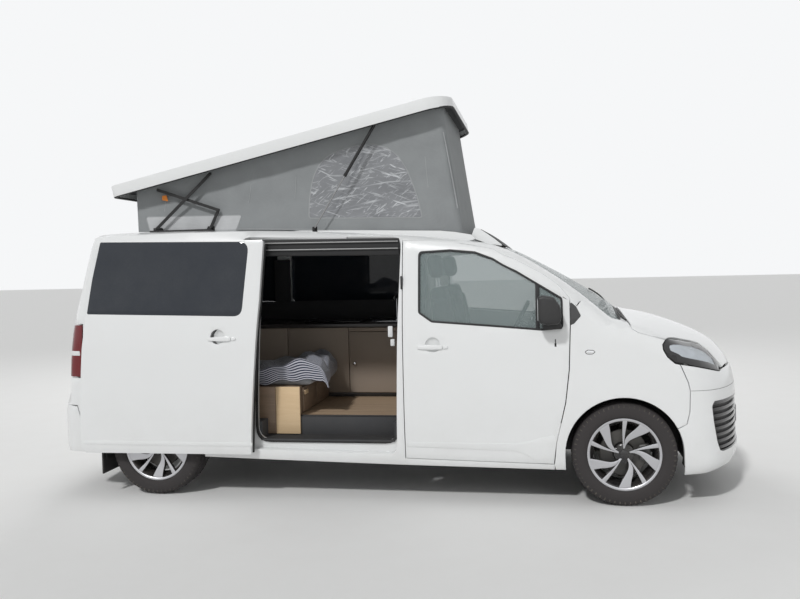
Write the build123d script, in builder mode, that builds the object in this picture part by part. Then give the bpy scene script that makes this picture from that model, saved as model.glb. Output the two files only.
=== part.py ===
from build123d import *
from math import atan2, cos, degrees, hypot, radians, sin, tan
import os

os.makedirs("parts", exist_ok=True)

# A camper van with a lifting roof, in millimetres.
# X points forwards, Y to the left, Z up; the ground is at Z = 0 under the middle of the van.

# Overall body
HALF_LENGTH = 2478
HALF_WIDTH = 958
WALL = 45
BONNET_WALL = 22
PANE_DEPTH = 4
PANE = 6
SHUT = 7
SEAT_GAP = 0.3

# Wheels
FRONT_AXLE_X = 1597
REAR_AXLE_X = -1678
FRONT_TRACK = 1627
REAR_TRACK = 1600
TYRE_RADIUS = 342
TYRE_WIDTH = 225
RIM_RADIUS = 222
ARCH_RADIUS = 388
SPINDLE_RADIUS = 20

# Floor
FLOOR_BASE = 515
FLOOR_SHEET = 20
FLOOR_HALF_WIDTH = 850
WOOD_SHEET = 13
STEP_TOP = 405
RAIL_Y = 420
RAIL_WIDTH = 70
RAIL_HEIGHT = 75
JACK_XS = (-1080, 900)
JACK_PAD_RADIUS = 30
JACK_PAD_HEIGHT = 12

# Where the windscreen meets the bonnet
COWL_X = 1588
COWL_Z = 1236
NOSE_AXIS_X = 578
BONNET_REAR_X = 1625
BONNET_HALF_WIDTH = 787

# Outlines: each step is a line's end, or an arc's middle and end.
SIDE_VIEW = [
    [(1000, 215)], [(-2300, 315)], [(-2450, 345)], [(-HALF_LENGTH, 400)], [(-HALF_LENGTH, 560)],
    [(-2425, 650)], [(-2400, 1000), (-2340, 1300)], [(-2222, 1810)], [(-2190, 1866), (-2120, 1893)],
    [(-1050, 1890), (118, 1822)], [(500, 1784), (835, 1726)], [(1215, 1495), (COWL_X, COWL_Z)],
    [(1860, 1192), (2110, 1108)], [(2290, 1014), (2390, 880)], [(2440, 770)],
    [(2462, 600), (2455, 420)], [(HALF_LENGTH, 330)], [(2400, 215)],
]
PLAN_VIEW = [
    [(-HALF_LENGTH, 0), (-2372, 890)], [(-2335, 930), (-2230, 955)], [(1500, 955)],
    [(2060, 905), (2390, 600)], [(HALF_LENGTH, 0), (2390, -600)], [(2060, -905), (1500, -955)],
    [(-2230, -955)], [(-2335, -930), (-2372, -890)],
]
END_VIEW = [
    [(800, 200)], [(908, 240)], [(938, 420)], [(957, 760), (952, 1080)], [(940, 1240), (915, 1420)],
    [(850, 1800)], [(830, 1868), (760, 1893)], [(0, 1912), (-760, 1893)], [(-830, 1868), (-850, 1800)],
    [(-915, 1420)], [(-940, 1240), (-952, 1080)], [(-957, 760), (-938, 420)], [(-908, 240)],
    [(-800, 200)],
]
NOSE_VIEW = [
    [(COWL_X, COWL_Z)], [(1860, 1192), (2110, 1108)], [(2290, 1014), (2390, 880)], [(2440, 770)],
    [(2462, 600), (2455, 420)], [(HALF_LENGTH, 330)], [(2400, 215)], [(NOSE_AXIS_X, 100)],
    [(NOSE_AXIS_X, 1400)], [(1400, 1400)],
]

# Side views of what is cut out of the body walls
FRONT_DOOR = [
    (150, 300), (150, 1783), (469, 1767), (760, 1708), (914, 1632), (1100, 1527), (1197, 1452),
    (1262, 1368), (1260, 1190), (1251, 906), (1225, 688), (1163, 424), (1144, 275),
]
FRONT_DOOR_WINDOW = [
    (270, 1270), (262, 1420), (268, 1690), (345, 1712), (476, 1706), (643, 1688), (764, 1640),
    (916, 1554), (1190, 1385), (1215, 1330), (1205, 1185), (1083, 1168), (799, 1191), (350, 1235),
]
SLIDING_DOOR = [
    (-2177, 320), (-2211, 360), (-2168, 1069), (-2132, 1319), (-2040, 1838), (-800, 1807),
    (-850, 1100), (-908, 325),
]
SLIDING_DOOR_WINDOW = [(-2100, 1325), (-2020, 1790), (-925, 1761), (-975, 1312)]
SLIDING_DOOR_SHIFT = 1040
SLIDING_DOOR_STAND_OFF = 68
DOORWAY = [(-900, 410), (98, 410), (110, 1379), (128, 1783), (-860, 1800)]
DOORWAY_RADIUS = 70
RECESS_STEP = 20
WAIST_TRACK = [(-2160, 1098), (-1000, 1098), (-1000, 1122), (-2160, 1122)]
WAIST_TRACK_DEPTH = 32
ROLLER_ARM = [(-2130, 1098.3), (-2050, 1098.3), (-2050, 1112), (-2130, 1112)]
PILLAR_INNER = [(140, 330), (140, 1770), (235, 1770), (235, 330)]
PILLAR_OUTER = [(90, 260), (90, 1795), (143, 1795), (143, 260)]
REAR_WINDOW = [(-2030, 1325), (-1975, 1770), (-1290, 1780), (-1310, 1312)]
MIDDLE_WINDOW = [(-1190, 1305), (-1160, 1770), (60, 1740), (60, 1270)]
WINDOW_RADIUS = 45
FRONT_WING = [
    (1151, 100), (1170, 424), (1232, 688), (1258, 906), (1267, 1197), (1588, 1222), (1588, 1500),
    (2600, 1500), (2600, 100),
]
FRONT_BUMPER = [
    (1968, 100), (1972, 600), (2012, 759), (1990, 860), (2230, 865), (2300, 900), (2600, 900),
    (2600, 100),
]
GRILLE = [
    (2600, 684), (2164, 684), (2157, 653), (2169, 550), (2194, 414), (2219, 353), (2238, 345), (2600, 345),
]
HEADLAMP = [
    (1871, 1085), (1847, 1063), (1851, 1032), (1878, 981), (1940, 935), (2000, 872), (2230, 877),
    (2420, 912), (2330, 985), (2178, 1010), (2060, 1066),
]
REAR_BUMPER = [(-2100, 100), (-2100, 316), (-2180, 360), (-2265, 649), (-2600, 655), (-2600, 100)]
TAIL_LAMP = [(-2200, 990), (-2200, 1370), (-2500, 1370), (-2500, 990)]

# Tailgate, seen from behind
TAILGATE_TOP = 1838
TAILGATE_BASE = 662
TAILGATE_HALF_WIDTH = 740
TAILGATE_FRONT_X = -2130
ROOF_HALF_WIDTH = 740

# Lifting roof: its lower edge, open and closed
LID_REAR_OPEN = (-2039, 2161)
LID_FRONT_OPEN = (497, 2714)
LID_REAR_CLOSED = (-2025, 1923)
LID_CLOSED_TILT = 1.4
LID_DEPTH = 92
LID_SKIN = 22
LID_HALF_WIDTH = 760
HATCH_REAR_X = -1870
HATCH_FRONT_X = 430
HATCH_HALF_WIDTH = 600
TENT_HALF_WIDTH = 640
TENT_SHEET = 6

# Hinges
DOOR_HINGE_X = 1165
DOOR_HINGE_Y = 943
DOOR_HINGE_HEIGHTS = (720, 1060)
PIN_RADIUS = 5
HANDLE_LENGTH = 218
MIRROR = [(1062, 1238), (1054, 1392), (1150, 1394), (1206, 1290), (1207, 1202)]
TAILGATE_HINGE = (-2185, 1850)
BONNET_HINGE = (1640, 1168)


def inset_points(points, inset):
    """The corners of a closed outline, moved so that each side moves in by inset."""
    following = points[1:] + points[:1]
    area = sum(a[0] * b[1] - b[0] * a[1] for a, b in zip(points, following))
    turn = inset if area > 0 else -inset
    moved = []
    for before, here, after in zip(points[-1:] + points[:-1], points, following):
        in_x, in_z = here[0] - before[0], here[1] - before[1]
        out_x, out_z = after[0] - here[0], after[1] - here[1]
        in_length, out_length = hypot(in_x, in_z), hypot(out_x, out_z)
        normal_in = (-in_z / in_length, in_x / in_length)
        normal_out = (-out_z / out_length, out_x / out_length)
        share = turn / (1 + normal_in[0] * normal_out[0] + normal_in[1] * normal_out[1])
        moved.append((here[0] + share * (normal_in[0] + normal_out[0]),
                      here[1] + share * (normal_in[1] + normal_out[1])))
    return moved


def draw(outline, inset=0):
    """Lines and arcs through an outline's steps."""
    moved = inset_points([point for step in outline for point in step], inset)
    last = moved[-1]
    place = 0
    for step in outline:
        points = moved[place:place + len(step)]
        place += len(step)
        if len(step) == 2:
            ThreePointArc(last, points[0], points[1])
        else:
            Line(last, points[0])
        last = points[-1]


def envelope(inset):
    """The whole body's outer form, moved inwards by inset."""
    with BuildPart() as form:
        with BuildSketch(Plane.XZ):
            with BuildLine():
                draw(SIDE_VIEW, inset)
            make_face()
        extrude(amount=HALF_WIDTH + 50, both=True)
        with BuildSketch(Plane.XY):
            with BuildLine():
                draw(PLAN_VIEW, inset)
            make_face()
        extrude(amount=2100, mode=Mode.INTERSECT)
        with BuildSketch(Plane.YZ):
            with BuildLine():
                draw(END_VIEW, inset)
            make_face()
        extrude(amount=HALF_LENGTH + 50, both=True, mode=Mode.INTERSECT)
    return form.part - nose_rounding(inset)


def nose_rounding(inset):
    """What a round nose leaves of the block in front of the windscreen."""
    with BuildPart() as nose:
        with BuildSketch(Plane.XZ):
            with BuildLine():
                draw(NOSE_VIEW, inset)
            make_face()
        revolve(axis=Axis((NOSE_AXIS_X, 0, 0), (0, 0, 1)))
    with BuildPart() as block:
        with BuildSketch(Plane.XY.offset(50)):
            with Locations((COWL_X, 0)):
                Rectangle(1200, 2200, align=(Align.MIN, Align.CENTER))
        extrude(amount=1300)
        add(nose.part, mode=Mode.SUBTRACT)
    return block.part


def side_prism(outline, near, far, side=-1, radius=0):
    """A block with this outline in side view, from near to far off the middle plane."""
    plane = Plane(origin=(0, side * near, 0), x_dir=(1, 0, 0), z_dir=(0, -1, 0))
    with BuildPart() as prism:
        with BuildSketch(plane) as view:
            with BuildLine():
                Polyline(*outline, close=True)
            make_face()
            if radius:
                fillet(view.vertices(), radius)
        extrude(amount=(far - near) * -side)
    return prism.part


def cross_prism(outline, half_width):
    """A block with this outline in side view, across the van."""
    with BuildPart() as prism:
        with BuildSketch(Plane.XZ):
            with BuildLine():
                Polyline(*outline, close=True)
            make_face()
        extrude(amount=half_width, both=True)
    return prism.part


def block(low, high):
    """A block between two corners."""
    middle = [(a + b) / 2 for a, b in zip(low, high)]
    size = [b - a for a, b in zip(low, high)]
    with BuildPart() as made:
        with Locations(tuple(middle)):
            Box(*size)
    return made.part


def both_sides(part):
    """A solid and its mirror image across the van, as one part."""
    with BuildPart() as made:
        add(part)
        mirror(about=Plane.XZ)
    return made.part


def finish(part, name):
    """Label a piece and write it."""
    part.label = name
    export_step(part, f"parts/{name}.step")


OUTER = envelope(0)
INNER = envelope(WALL)
SHELL = OUTER - INNER
GLAZING = envelope(PANE_DEPTH) - envelope(PANE_DEPTH + PANE)


def wheel_arches(radius, axle_x, depth):
    """The round cuts around one axle's wheels."""
    half = HALF_WIDTH + 60
    with BuildPart() as cuts:
        for side in (-1, 1):
            with BuildSketch(Plane(origin=(0, side * half, 0), x_dir=(1, 0, 0), z_dir=(0, -1, 0))):
                with Locations((axle_x, TYRE_RADIUS)):
                    Circle(radius)
                with Locations((axle_x, 0)):
                    Rectangle(2 * radius, 2 * TYRE_RADIUS)
            extrude(amount=side * depth)
    return cuts.part


FRONT_ARCHES = wheel_arches(ARCH_RADIUS, FRONT_AXLE_X, 430)
REAR_ARCHES = wheel_arches(ARCH_RADIUS, REAR_AXLE_X, 330)
RECESS = [(x + SLIDING_DOOR_SHIFT, z) for x, z in SLIDING_DOOR]
RECESS_FRAME = inset_points(RECESS, -25)
INSIDE_DOORS = envelope(WALL + SHUT)
RECESS_SHELL = INNER - envelope(WALL + RECESS_STEP)


def door_pockets(side):
    """Room for the body's hinge arms in a front door, with the pins' bores."""
    with BuildPart() as room:
        for height in DOOR_HINGE_HEIGHTS:
            with Locations((DOOR_HINGE_X - 13, side * (DOOR_HINGE_Y - 42), height)):
                Box(200, 100, 60, align=(Align.MIN, Align.CENTER, Align.CENTER))
            with Locations((DOOR_HINGE_X, side * DOOR_HINGE_Y, height)):
                Cylinder(PIN_RADIUS + SEAT_GAP, 110)
    return room.part


def door_hinge_arms(side):
    """Hinge pins of a front door and the arms that hold them to the body."""
    with BuildPart() as arms:
        for height in DOOR_HINGE_HEIGHTS:
            with Locations((DOOR_HINGE_X, side * DOOR_HINGE_Y, height)):
                Cylinder(PIN_RADIUS, 90)
            with Locations((DOOR_HINGE_X, side * (DOOR_HINGE_Y - 50), height)):
                Box(12, 110, 40)
            with Locations((DOOR_HINGE_X - 6, side * (DOOR_HINGE_Y - 99), height)):
                Box(135, 12, 40, align=(Align.MIN, Align.CENTER, Align.CENTER))
    return arms.part


# Floor, sills and wheel houses
STEP_RISE = FLOOR_BASE + FLOOR_SHEET - STEP_TOP + 15
with BuildPart() as floor_pan:
    with BuildSketch(Plane.XY.offset(FLOOR_BASE)):
        with BuildLine():
            Polyline((-2300, -930), (-2300, 930), (88, 930), (88, 785), (245, 785),
                     (245, FLOOR_HALF_WIDTH), (1130, FLOOR_HALF_WIDTH), (1130, 485), (1275, 485),
                     (1275, -485), (1130, -485), (1130, -FLOOR_HALF_WIDTH), (245, -FLOOR_HALF_WIDTH),
                     (245, -785), (88, -785), (88, -930), close=True)
        make_face()
    extrude(amount=FLOOR_SHEET)
    with Locations((-400, -FLOOR_HALF_WIDTH, FLOOR_BASE)):
        Box(960, 230, 100, mode=Mode.SUBTRACT)
    with Locations((-406, -820, STEP_TOP)):
        Box(988, 180, 15, align=(Align.CENTER, Align.CENTER, Align.MAX))
    for end in (-890, 78):
        with Locations((end, -820, STEP_TOP - 15)):
            Box(20, 180, STEP_RISE, align=(Align.CENTER, Align.CENTER, Align.MIN))
    with Locations((-406, -735, STEP_TOP - 15)):
        Box(988, 12, STEP_RISE, align=(Align.CENTER, Align.MIN, Align.MIN))
    for side in (-1, 1):
        with Locations((REAR_AXLE_X, side * 790, TYRE_RADIUS)):
            Cylinder(ARCH_RADIUS + 12, 290, rotation=(90, 0, 0))
    for side in (-1, 1):
        with Locations((REAR_AXLE_X, side * 802, TYRE_RADIUS)):
            Cylinder(ARCH_RADIUS, 290, rotation=(90, 0, 0), mode=Mode.SUBTRACT)
        with Locations((REAR_AXLE_X, side * 760, TYRE_RADIUS + 55)):
            Box(900, 400, 900, align=(Align.CENTER, Align.CENTER, Align.MAX), mode=Mode.SUBTRACT)
    add(INNER, mode=Mode.INTERSECT)
    add(RECESS_SHELL & side_prism(RECESS_FRAME, ROOF_HALF_WIDTH, 1000), mode=Mode.SUBTRACT)
    for side in (-1, 1):
        with Locations((-1200, side * RAIL_Y, FLOOR_BASE)):
            Box(2330, RAIL_WIDTH, RAIL_HEIGHT, align=(Align.MIN, Align.CENTER, Align.MAX))
        with Locations((1130, side * RAIL_Y, FLOOR_BASE + FLOOR_SHEET)):
            Box(1130, RAIL_WIDTH, RAIL_HEIGHT, align=(Align.MIN, Align.CENTER, Align.MAX))
    with Locations((2260, 0, FLOOR_BASE + FLOOR_SHEET)):
        Box(40, 1000, RAIL_HEIGHT, align=(Align.MIN, Align.CENTER, Align.MAX))
    for x in JACK_XS:
        for side in (-1, 1):
            with Locations((x, side * RAIL_Y, FLOOR_BASE - RAIL_HEIGHT)):
                Cylinder(JACK_PAD_RADIUS, JACK_PAD_HEIGHT, align=(Align.CENTER, Align.CENTER, Align.MAX))
finish(floor_pan.part, "floor_pan")

with BuildPart() as wood_floor:
    with Locations((-2280, -715, FLOOR_BASE + FLOOR_SHEET)):
        Box(2350, 1540, WOOD_SHEET, align=(Align.MIN, Align.MIN, Align.MIN))
    for side in (-1, 1):
        with Locations((REAR_AXLE_X, side * 900, 500)):
            Box(820, 520, 900, mode=Mode.SUBTRACT)
    add(block((-2290, 600, 500), (REAR_AXLE_X, 830, 600)), mode=Mode.SUBTRACT)
    add(block((-2290, -830, 500), (REAR_AXLE_X, -600, 600)), mode=Mode.SUBTRACT)
finish(wood_floor.part, "wood_floor")

# The windscreen's opening in plan, wider at its foot
with BuildPart() as screen_opening:
    with BuildSketch(Plane.XY.offset(1150)):
        with BuildLine():
            Polyline((838, -700), (COWL_X - 3, -795), (COWL_X - 3, 795), (838, 700), close=True)
        make_face()
    extrude(amount=700)


def body_side(side, windows):
    """One side of the body: sill, pillars, roof rail and quarter, with its openings cut."""
    low, high = sorted((side * ROOF_HALF_WIDTH, side * 1000))
    front_low, front_high = sorted((side * 640, side * 1000))
    zone = block((-2600, low, 0), (835, high, 2100))
    zone += block((835, front_low, 0), (COWL_X, front_high, 2100))
    pillar_inner = INSIDE_DOORS & side_prism(PILLAR_INNER, 790, 1000, side)
    pillar_outer = OUTER & side_prism(PILLAR_OUTER, 790, 1000, side)
    with BuildPart() as wall:
        add(SHELL)
        add(zone, mode=Mode.INTERSECT)
        add(pillar_outer)
        add(pillar_inner)
        if side < 0:
            add(side_prism(RECESS, ROOF_HALF_WIDTH, 1000, side), mode=Mode.SUBTRACT)
            add(RECESS_SHELL & side_prism(RECESS_FRAME, ROOF_HALF_WIDTH, 1000, side))
            add(side_prism(DOORWAY, 600, 1000, side, DOORWAY_RADIUS), mode=Mode.SUBTRACT)
            add(side_prism(WAIST_TRACK, HALF_WIDTH - WAIST_TRACK_DEPTH, 1000, side), mode=Mode.SUBTRACT)
        add(side_prism(inset_points(FRONT_DOOR, -SHUT), 700, 1000, side) - pillar_inner, mode=Mode.SUBTRACT)
        for window in windows:
            add(side_prism(window, 600, 1000, side, WINDOW_RADIUS), mode=Mode.SUBTRACT)
        add(screen_opening.part, mode=Mode.SUBTRACT)
        add(side_prism(FRONT_WING, 600, 1000, side), mode=Mode.SUBTRACT)
        add(cross_prism(REAR_BUMPER, 1000), mode=Mode.SUBTRACT)
        add(side_prism(TAIL_LAMP, 745, 1000, side), mode=Mode.SUBTRACT)
        add(REAR_ARCHES, mode=Mode.SUBTRACT)
    return wall.part


finish(body_side(-1, [REAR_WINDOW]), "body_side_right")
finish(body_side(1, [REAR_WINDOW, MIDDLE_WINDOW]), "body_side_left")

with BuildPart() as side_glass:
    add(GLAZING & side_prism(REAR_WINDOW, 600, 1000, -1, WINDOW_RADIUS))
    add(GLAZING & side_prism(REAR_WINDOW, 600, 1000, 1, WINDOW_RADIUS))
    add(GLAZING & side_prism(MIDDLE_WINDOW, 600, 1000, 1, WINDOW_RADIUS))
finish(side_glass.part, "side_glass")

with BuildPart() as tail_lamps:
    add(SHELL)
    add(both_sides(side_prism(TAIL_LAMP, 745, 1000)), mode=Mode.INTERSECT)
finish(tail_lamps.part, "tail_lamps")

# Roof panel with the lifting roof's hatch
with BuildPart() as roof_panel:
    add(SHELL)
    add(cross_prism([(-2189, 1845), (-2140, 1845), (-2140, 1650), (790, 1650), (838, 1760),
                     (838, 2000), (-2189, 2000)], ROOF_HALF_WIDTH), mode=Mode.INTERSECT)
    with BuildSketch(Plane.XY.offset(1500)):
        with Locations(((HATCH_REAR_X + HATCH_FRONT_X) / 2, 0)):
            RectangleRounded(HATCH_FRONT_X - HATCH_REAR_X, 2 * HATCH_HALF_WIDTH, 60)
    extrude(amount=600, mode=Mode.SUBTRACT)
    for side in (-1, 1):
        with Locations((TAILGATE_HINGE[0] + 25, side * 400, TAILGATE_HINGE[1] + 14)):
            Box(80, 60, 40, align=(Align.MAX, Align.CENTER, Align.MAX), mode=Mode.SUBTRACT)
        with Locations((TAILGATE_HINGE[0], side * 400, TAILGATE_HINGE[1])):
            Cylinder(PIN_RADIUS, 80, rotation=(90, 0, 0))
finish(roof_panel.part, "roof_panel")

with BuildPart() as roof_fairing:
    with BuildSketch(Plane.XZ):
        with BuildLine():
            Polyline((585, 1700), (585, 1852), (640, 1852), (740, 1800), (815, 1741), (815, 1700),
                     close=True)
        make_face()
    extrude(amount=620, both=True)
    add(OUTER, mode=Mode.SUBTRACT)
finish(roof_fairing.part, "roof_fairing")

with BuildPart() as windscreen:
    add(GLAZING)
    add(screen_opening.part, mode=Mode.INTERSECT)
finish(windscreen.part, "windscreen")


# Nose: bonnet, wings, lamps, bumper and grille
LAMP_ROOM = both_sides(side_prism(HEADLAMP, 540, 1000))
BONNET_ROOM = block((BONNET_REAR_X - 40, -BONNET_HALF_WIDTH - SHUT, 850),
                    (2600, BONNET_HALF_WIDTH + SHUT, 1400))
BUMPER_ROOM = cross_prism(FRONT_BUMPER, 1000)

with BuildPart() as headlamps:
    add(SHELL)
    add(LAMP_ROOM, mode=Mode.INTERSECT)
finish(headlamps.part, "headlamps")

with BuildPart() as front_wings:
    add(SHELL)
    add(both_sides(side_prism(FRONT_WING, 600, 1000)), mode=Mode.INTERSECT)
    for room in (BONNET_ROOM, LAMP_ROOM, BUMPER_ROOM, FRONT_ARCHES, screen_opening.part):
        add(room, mode=Mode.SUBTRACT)
finish(front_wings.part, "front_wings")

with BuildPart() as bonnet:
    add(OUTER - envelope(BONNET_WALL))
    add(block((BONNET_REAR_X, -BONNET_HALF_WIDTH, 850), (2600, BONNET_HALF_WIDTH, 1400)),
        mode=Mode.INTERSECT)
    add(both_sides(side_prism(inset_points(HEADLAMP, -SHUT), 500, 1000)), mode=Mode.SUBTRACT)
    add(cross_prism(inset_points(FRONT_BUMPER, -SHUT), 1000), mode=Mode.SUBTRACT)
    for side in (-1, 1):
        with Locations((BONNET_HINGE[0], side * 560, BONNET_HINGE[1])):
            Cylinder(14, 30, rotation=(90, 0, 0))
            Box(28, 30, 24, align=(Align.CENTER, Align.CENTER, Align.MIN))
            Cylinder(PIN_RADIUS + SEAT_GAP, 40, rotation=(90, 0, 0), mode=Mode.SUBTRACT)
    add(OUTER, mode=Mode.INTERSECT)
finish(bonnet.part, "bonnet")

SLAT_COUNT = 6
SLAT_PITCH = 52
SLAT_HEIGHT = 24
GRILLE_ROOM = cross_prism(GRILLE, 1000)
with BuildPart() as front_bumper:
    add(SHELL)
    add(BUMPER_ROOM, mode=Mode.INTERSECT)
    add(LAMP_ROOM, mode=Mode.SUBTRACT)
    add(FRONT_ARCHES, mode=Mode.SUBTRACT)
    add(GRILLE_ROOM, mode=Mode.SUBTRACT)
finish(front_bumper.part, "front_bumper")

with BuildPart() as front_grille:
    for slat in range(SLAT_COUNT):
        with Locations((2350, 0, GRILLE[-1][1] + (slat + 0.5) * SLAT_PITCH)):
            Box(500, 2000, SLAT_HEIGHT)
    add(envelope(8), mode=Mode.INTERSECT)
    add(envelope(26))
    add(envelope(38), mode=Mode.SUBTRACT)
    add(GRILLE_ROOM, mode=Mode.INTERSECT)
finish(front_grille.part, "front_grille")

with BuildPart() as rear_bumper:
    add(SHELL)
    add(cross_prism(REAR_BUMPER, 1000), mode=Mode.INTERSECT)
    add(REAR_ARCHES, mode=Mode.SUBTRACT)
finish(rear_bumper.part, "rear_bumper")

# Tailgate
TAILGATE_ROOM = block((-2600, -TAILGATE_HALF_WIDTH + SHUT, TAILGATE_BASE),
                      (TAILGATE_FRONT_X, TAILGATE_HALF_WIDTH - SHUT, TAILGATE_TOP))
with BuildPart() as tailgate_window:
    with BuildSketch(Plane.YZ.offset(-2600)):
        with Locations((0, 1540)):
            RectangleRounded(1260, 440, 70)
    extrude(amount=500)
with BuildPart() as tailgate:
    add(SHELL)
    add(TAILGATE_ROOM, mode=Mode.INTERSECT)
    add(tailgate_window.part, mode=Mode.SUBTRACT)
    for side in (-1, 1):
        with Locations((TAILGATE_HINGE[0], side * 400, TAILGATE_HINGE[1])):
            Cylinder(11, 40, rotation=(90, 0, 0))
            Box(22, 40, 30, align=(Align.CENTER, Align.CENTER, Align.MAX))
            Cylinder(PIN_RADIUS + SEAT_GAP, 60, rotation=(90, 0, 0), mode=Mode.SUBTRACT)
finish(tailgate.part, "tailgate")
with BuildPart() as tailgate_glass:
    add(GLAZING)
    add(tailgate_window.part, mode=Mode.INTERSECT)
finish(tailgate_glass.part, "tailgate_glass")


# Front doors
def door_handle(x, y, z):
    """A pull handle along the van, proud of a door's skin."""
    with BuildPart() as handle:
        with Locations((x, y, z)):
            Box(HANDLE_LENGTH, 40, 26)
        fillet(handle.edges().filter_by(Axis.X), 8)
    return handle.part


def front_door(side):
    """A front door with its window cut and its hinge pockets."""
    with BuildPart() as door:
        add(SHELL)
        add(side_prism(FRONT_DOOR, ROOF_HALF_WIDTH, 1000, side), mode=Mode.INTERSECT)
        add(side_prism(FRONT_DOOR_WINDOW, 600, 1000, side, 20), mode=Mode.SUBTRACT)
        add(door_pockets(side), mode=Mode.SUBTRACT)
        add(door_handle(354, side * 952, 1059))
    return door.part


def mirror_body(side):
    """A door mirror on its arm."""
    with BuildPart() as housing:
        with BuildSketch(Plane(origin=(0, side * 1042, 0), x_dir=(1, 0, 0), z_dir=(0, -1, 0))):
            with BuildLine():
                Polyline(*MIRROR, close=True)
            make_face()
        extrude(amount=58, both=True)
        fillet(housing.edges(), 24)
        with Locations((1118, side * 962, 1225)):
            Box(60, 100, 40)
        add(envelope(PANE_DEPTH), mode=Mode.SUBTRACT)
    return housing.part


for side, name in ((-1, "right"), (1, "left")):
    finish(front_door(side), f"front_door_{name}")
    finish(GLAZING & side_prism(FRONT_DOOR_WINDOW, 600, 1000, side, 20), f"door_glass_{name}")
    finish(mirror_body(side), f"mirror_{name}")

# Sliding door, stored open along the right side, its roller arm in the waist track
with BuildPart() as closed_door:
    add(SHELL)
    add(side_prism(SLIDING_DOOR, 790, 1000), mode=Mode.INTERSECT)
    add(side_prism(SLIDING_DOOR_WINDOW, 600, 1000, -1, WINDOW_RADIUS), mode=Mode.SUBTRACT)
    add(block((-2300, -875, 200), (-700, -600, 362)), mode=Mode.SUBTRACT)
with BuildPart() as sliding_door:
    with Locations((0, -SLIDING_DOOR_STAND_OFF, 0)):
        add(closed_door.part)
    add(door_handle(-1111, -948 - SLIDING_DOOR_STAND_OFF, 1133))
    add(side_prism(ROLLER_ARM, HALF_WIDTH - WAIST_TRACK_DEPTH + 6, HALF_WIDTH + 30))
finish(sliding_door.part, "sliding_door")
with BuildPart() as sliding_door_glass:
    with Locations((0, -SLIDING_DOOR_STAND_OFF, 0)):
        add(GLAZING & side_prism(SLIDING_DOOR_WINDOW, 600, 1000, -1, WINDOW_RADIUS))
finish(sliding_door_glass.part, "sliding_door_glass")

# Bulkhead, cowl, wheel liners and strut towers
KINGPIN_FOOT = (FRONT_AXLE_X, 745, 200)
KINGPIN_LEAN = degrees(atan2(82, 622))
TOWER_TOP = 822
STRUT_CLAMP_Y = 655
LINER = ARCH_RADIUS + 14


def kingpin_plane(side):
    """A plane at the lower ball joint, square to the steering axis."""
    lean = radians(KINGPIN_LEAN)
    return Plane(origin=(KINGPIN_FOOT[0], side * KINGPIN_FOOT[1], KINGPIN_FOOT[2]), x_dir=(1, 0, 0),
                 z_dir=(0, -side * sin(lean), cos(lean)))


with BuildPart() as bulkhead:
    for side in (-1, 1):
        with BuildSketch(Plane(origin=(0, side * 490, 0), x_dir=(1, 0, 0), z_dir=(0, -1, 0))):
            with Locations((FRONT_AXLE_X, TYRE_RADIUS)):
                Circle(LINER + 10)
        extrude(amount=-side * 440)
    for side in (-1, 1):
        with BuildSketch(Plane(origin=(0, side * 500, 0), x_dir=(1, 0, 0), z_dir=(0, -1, 0))):
            with Locations((FRONT_AXLE_X, TYRE_RADIUS)):
                Circle(LINER)
        extrude(amount=-side * 440, mode=Mode.SUBTRACT)
        with Locations((FRONT_AXLE_X, side * 700, TYRE_RADIUS - 60)):
            Box(1000, 520, 600, align=(Align.CENTER, Align.CENTER, Align.MAX), mode=Mode.SUBTRACT)
    with Locations((1275, 0, 535)):
        Box(20, 990, 615, align=(Align.MIN, Align.CENTER, Align.MIN))
    with Locations((1275, 0, 596)):
        Box(20, 1840, 554, align=(Align.MIN, Align.CENTER, Align.MIN))
    with Locations((1275, 0, 1130)):
        Box(340, 1840, 20, align=(Align.MIN, Align.CENTER, Align.MIN))
    with Locations((1556, 0, 1140)):
        Box(26, 1840, 120, align=(Align.MIN, Align.CENTER, Align.MIN))
    add(envelope(WALL + 1), mode=Mode.INTERSECT)
    for side in (-1, 1):
        top = kingpin_plane(side).offset((TOWER_TOP - KINGPIN_FOOT[2]) / cos(radians(KINGPIN_LEAN)))
        with BuildSketch(top.offset(10)):
            Circle(75)
        extrude(amount=-110)
        with BuildSketch(top):
            Circle(65)
        extrude(amount=-250, mode=Mode.SUBTRACT)
        with Locations((BONNET_HINGE[0], side * 560, BONNET_HINGE[1])):
            Cylinder(PIN_RADIUS, 70, rotation=(90, 0, 0))
        with Locations((BONNET_HINGE[0], side * 586, BONNET_HINGE[1])):
            Cylinder(9, 12, rotation=(90, 0, 0))
        with Locations((BONNET_HINGE[0] + 9, side * 586, BONNET_HINGE[1] - 8)):
            Box(80, 12, 44, align=(Align.MAX, Align.CENTER, Align.MAX))
        add(door_hinge_arms(side))
finish(bulkhead.part, "bulkhead")

with BuildPart() as dashboard:
    with BuildSketch(Plane.XZ):
        with BuildLine():
            Polyline((1274, 1130), (1274, 860), (1130, 860), (1010, 930), (985, 1080), (1060, 1190),
                     (1200, 1215), (1554, 1215), (1554, 1151), (1274, 1151), close=True)
        make_face()
    extrude(amount=815, both=True)
    add(envelope(WALL + 1), mode=Mode.INTERSECT)
    with Locations((1100, 0, FLOOR_BASE + FLOOR_SHEET)):
        Box(170, 260, 345, align=(Align.CENTER, Align.CENTER, Align.MIN))
finish(dashboard.part, "dashboard")

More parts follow.
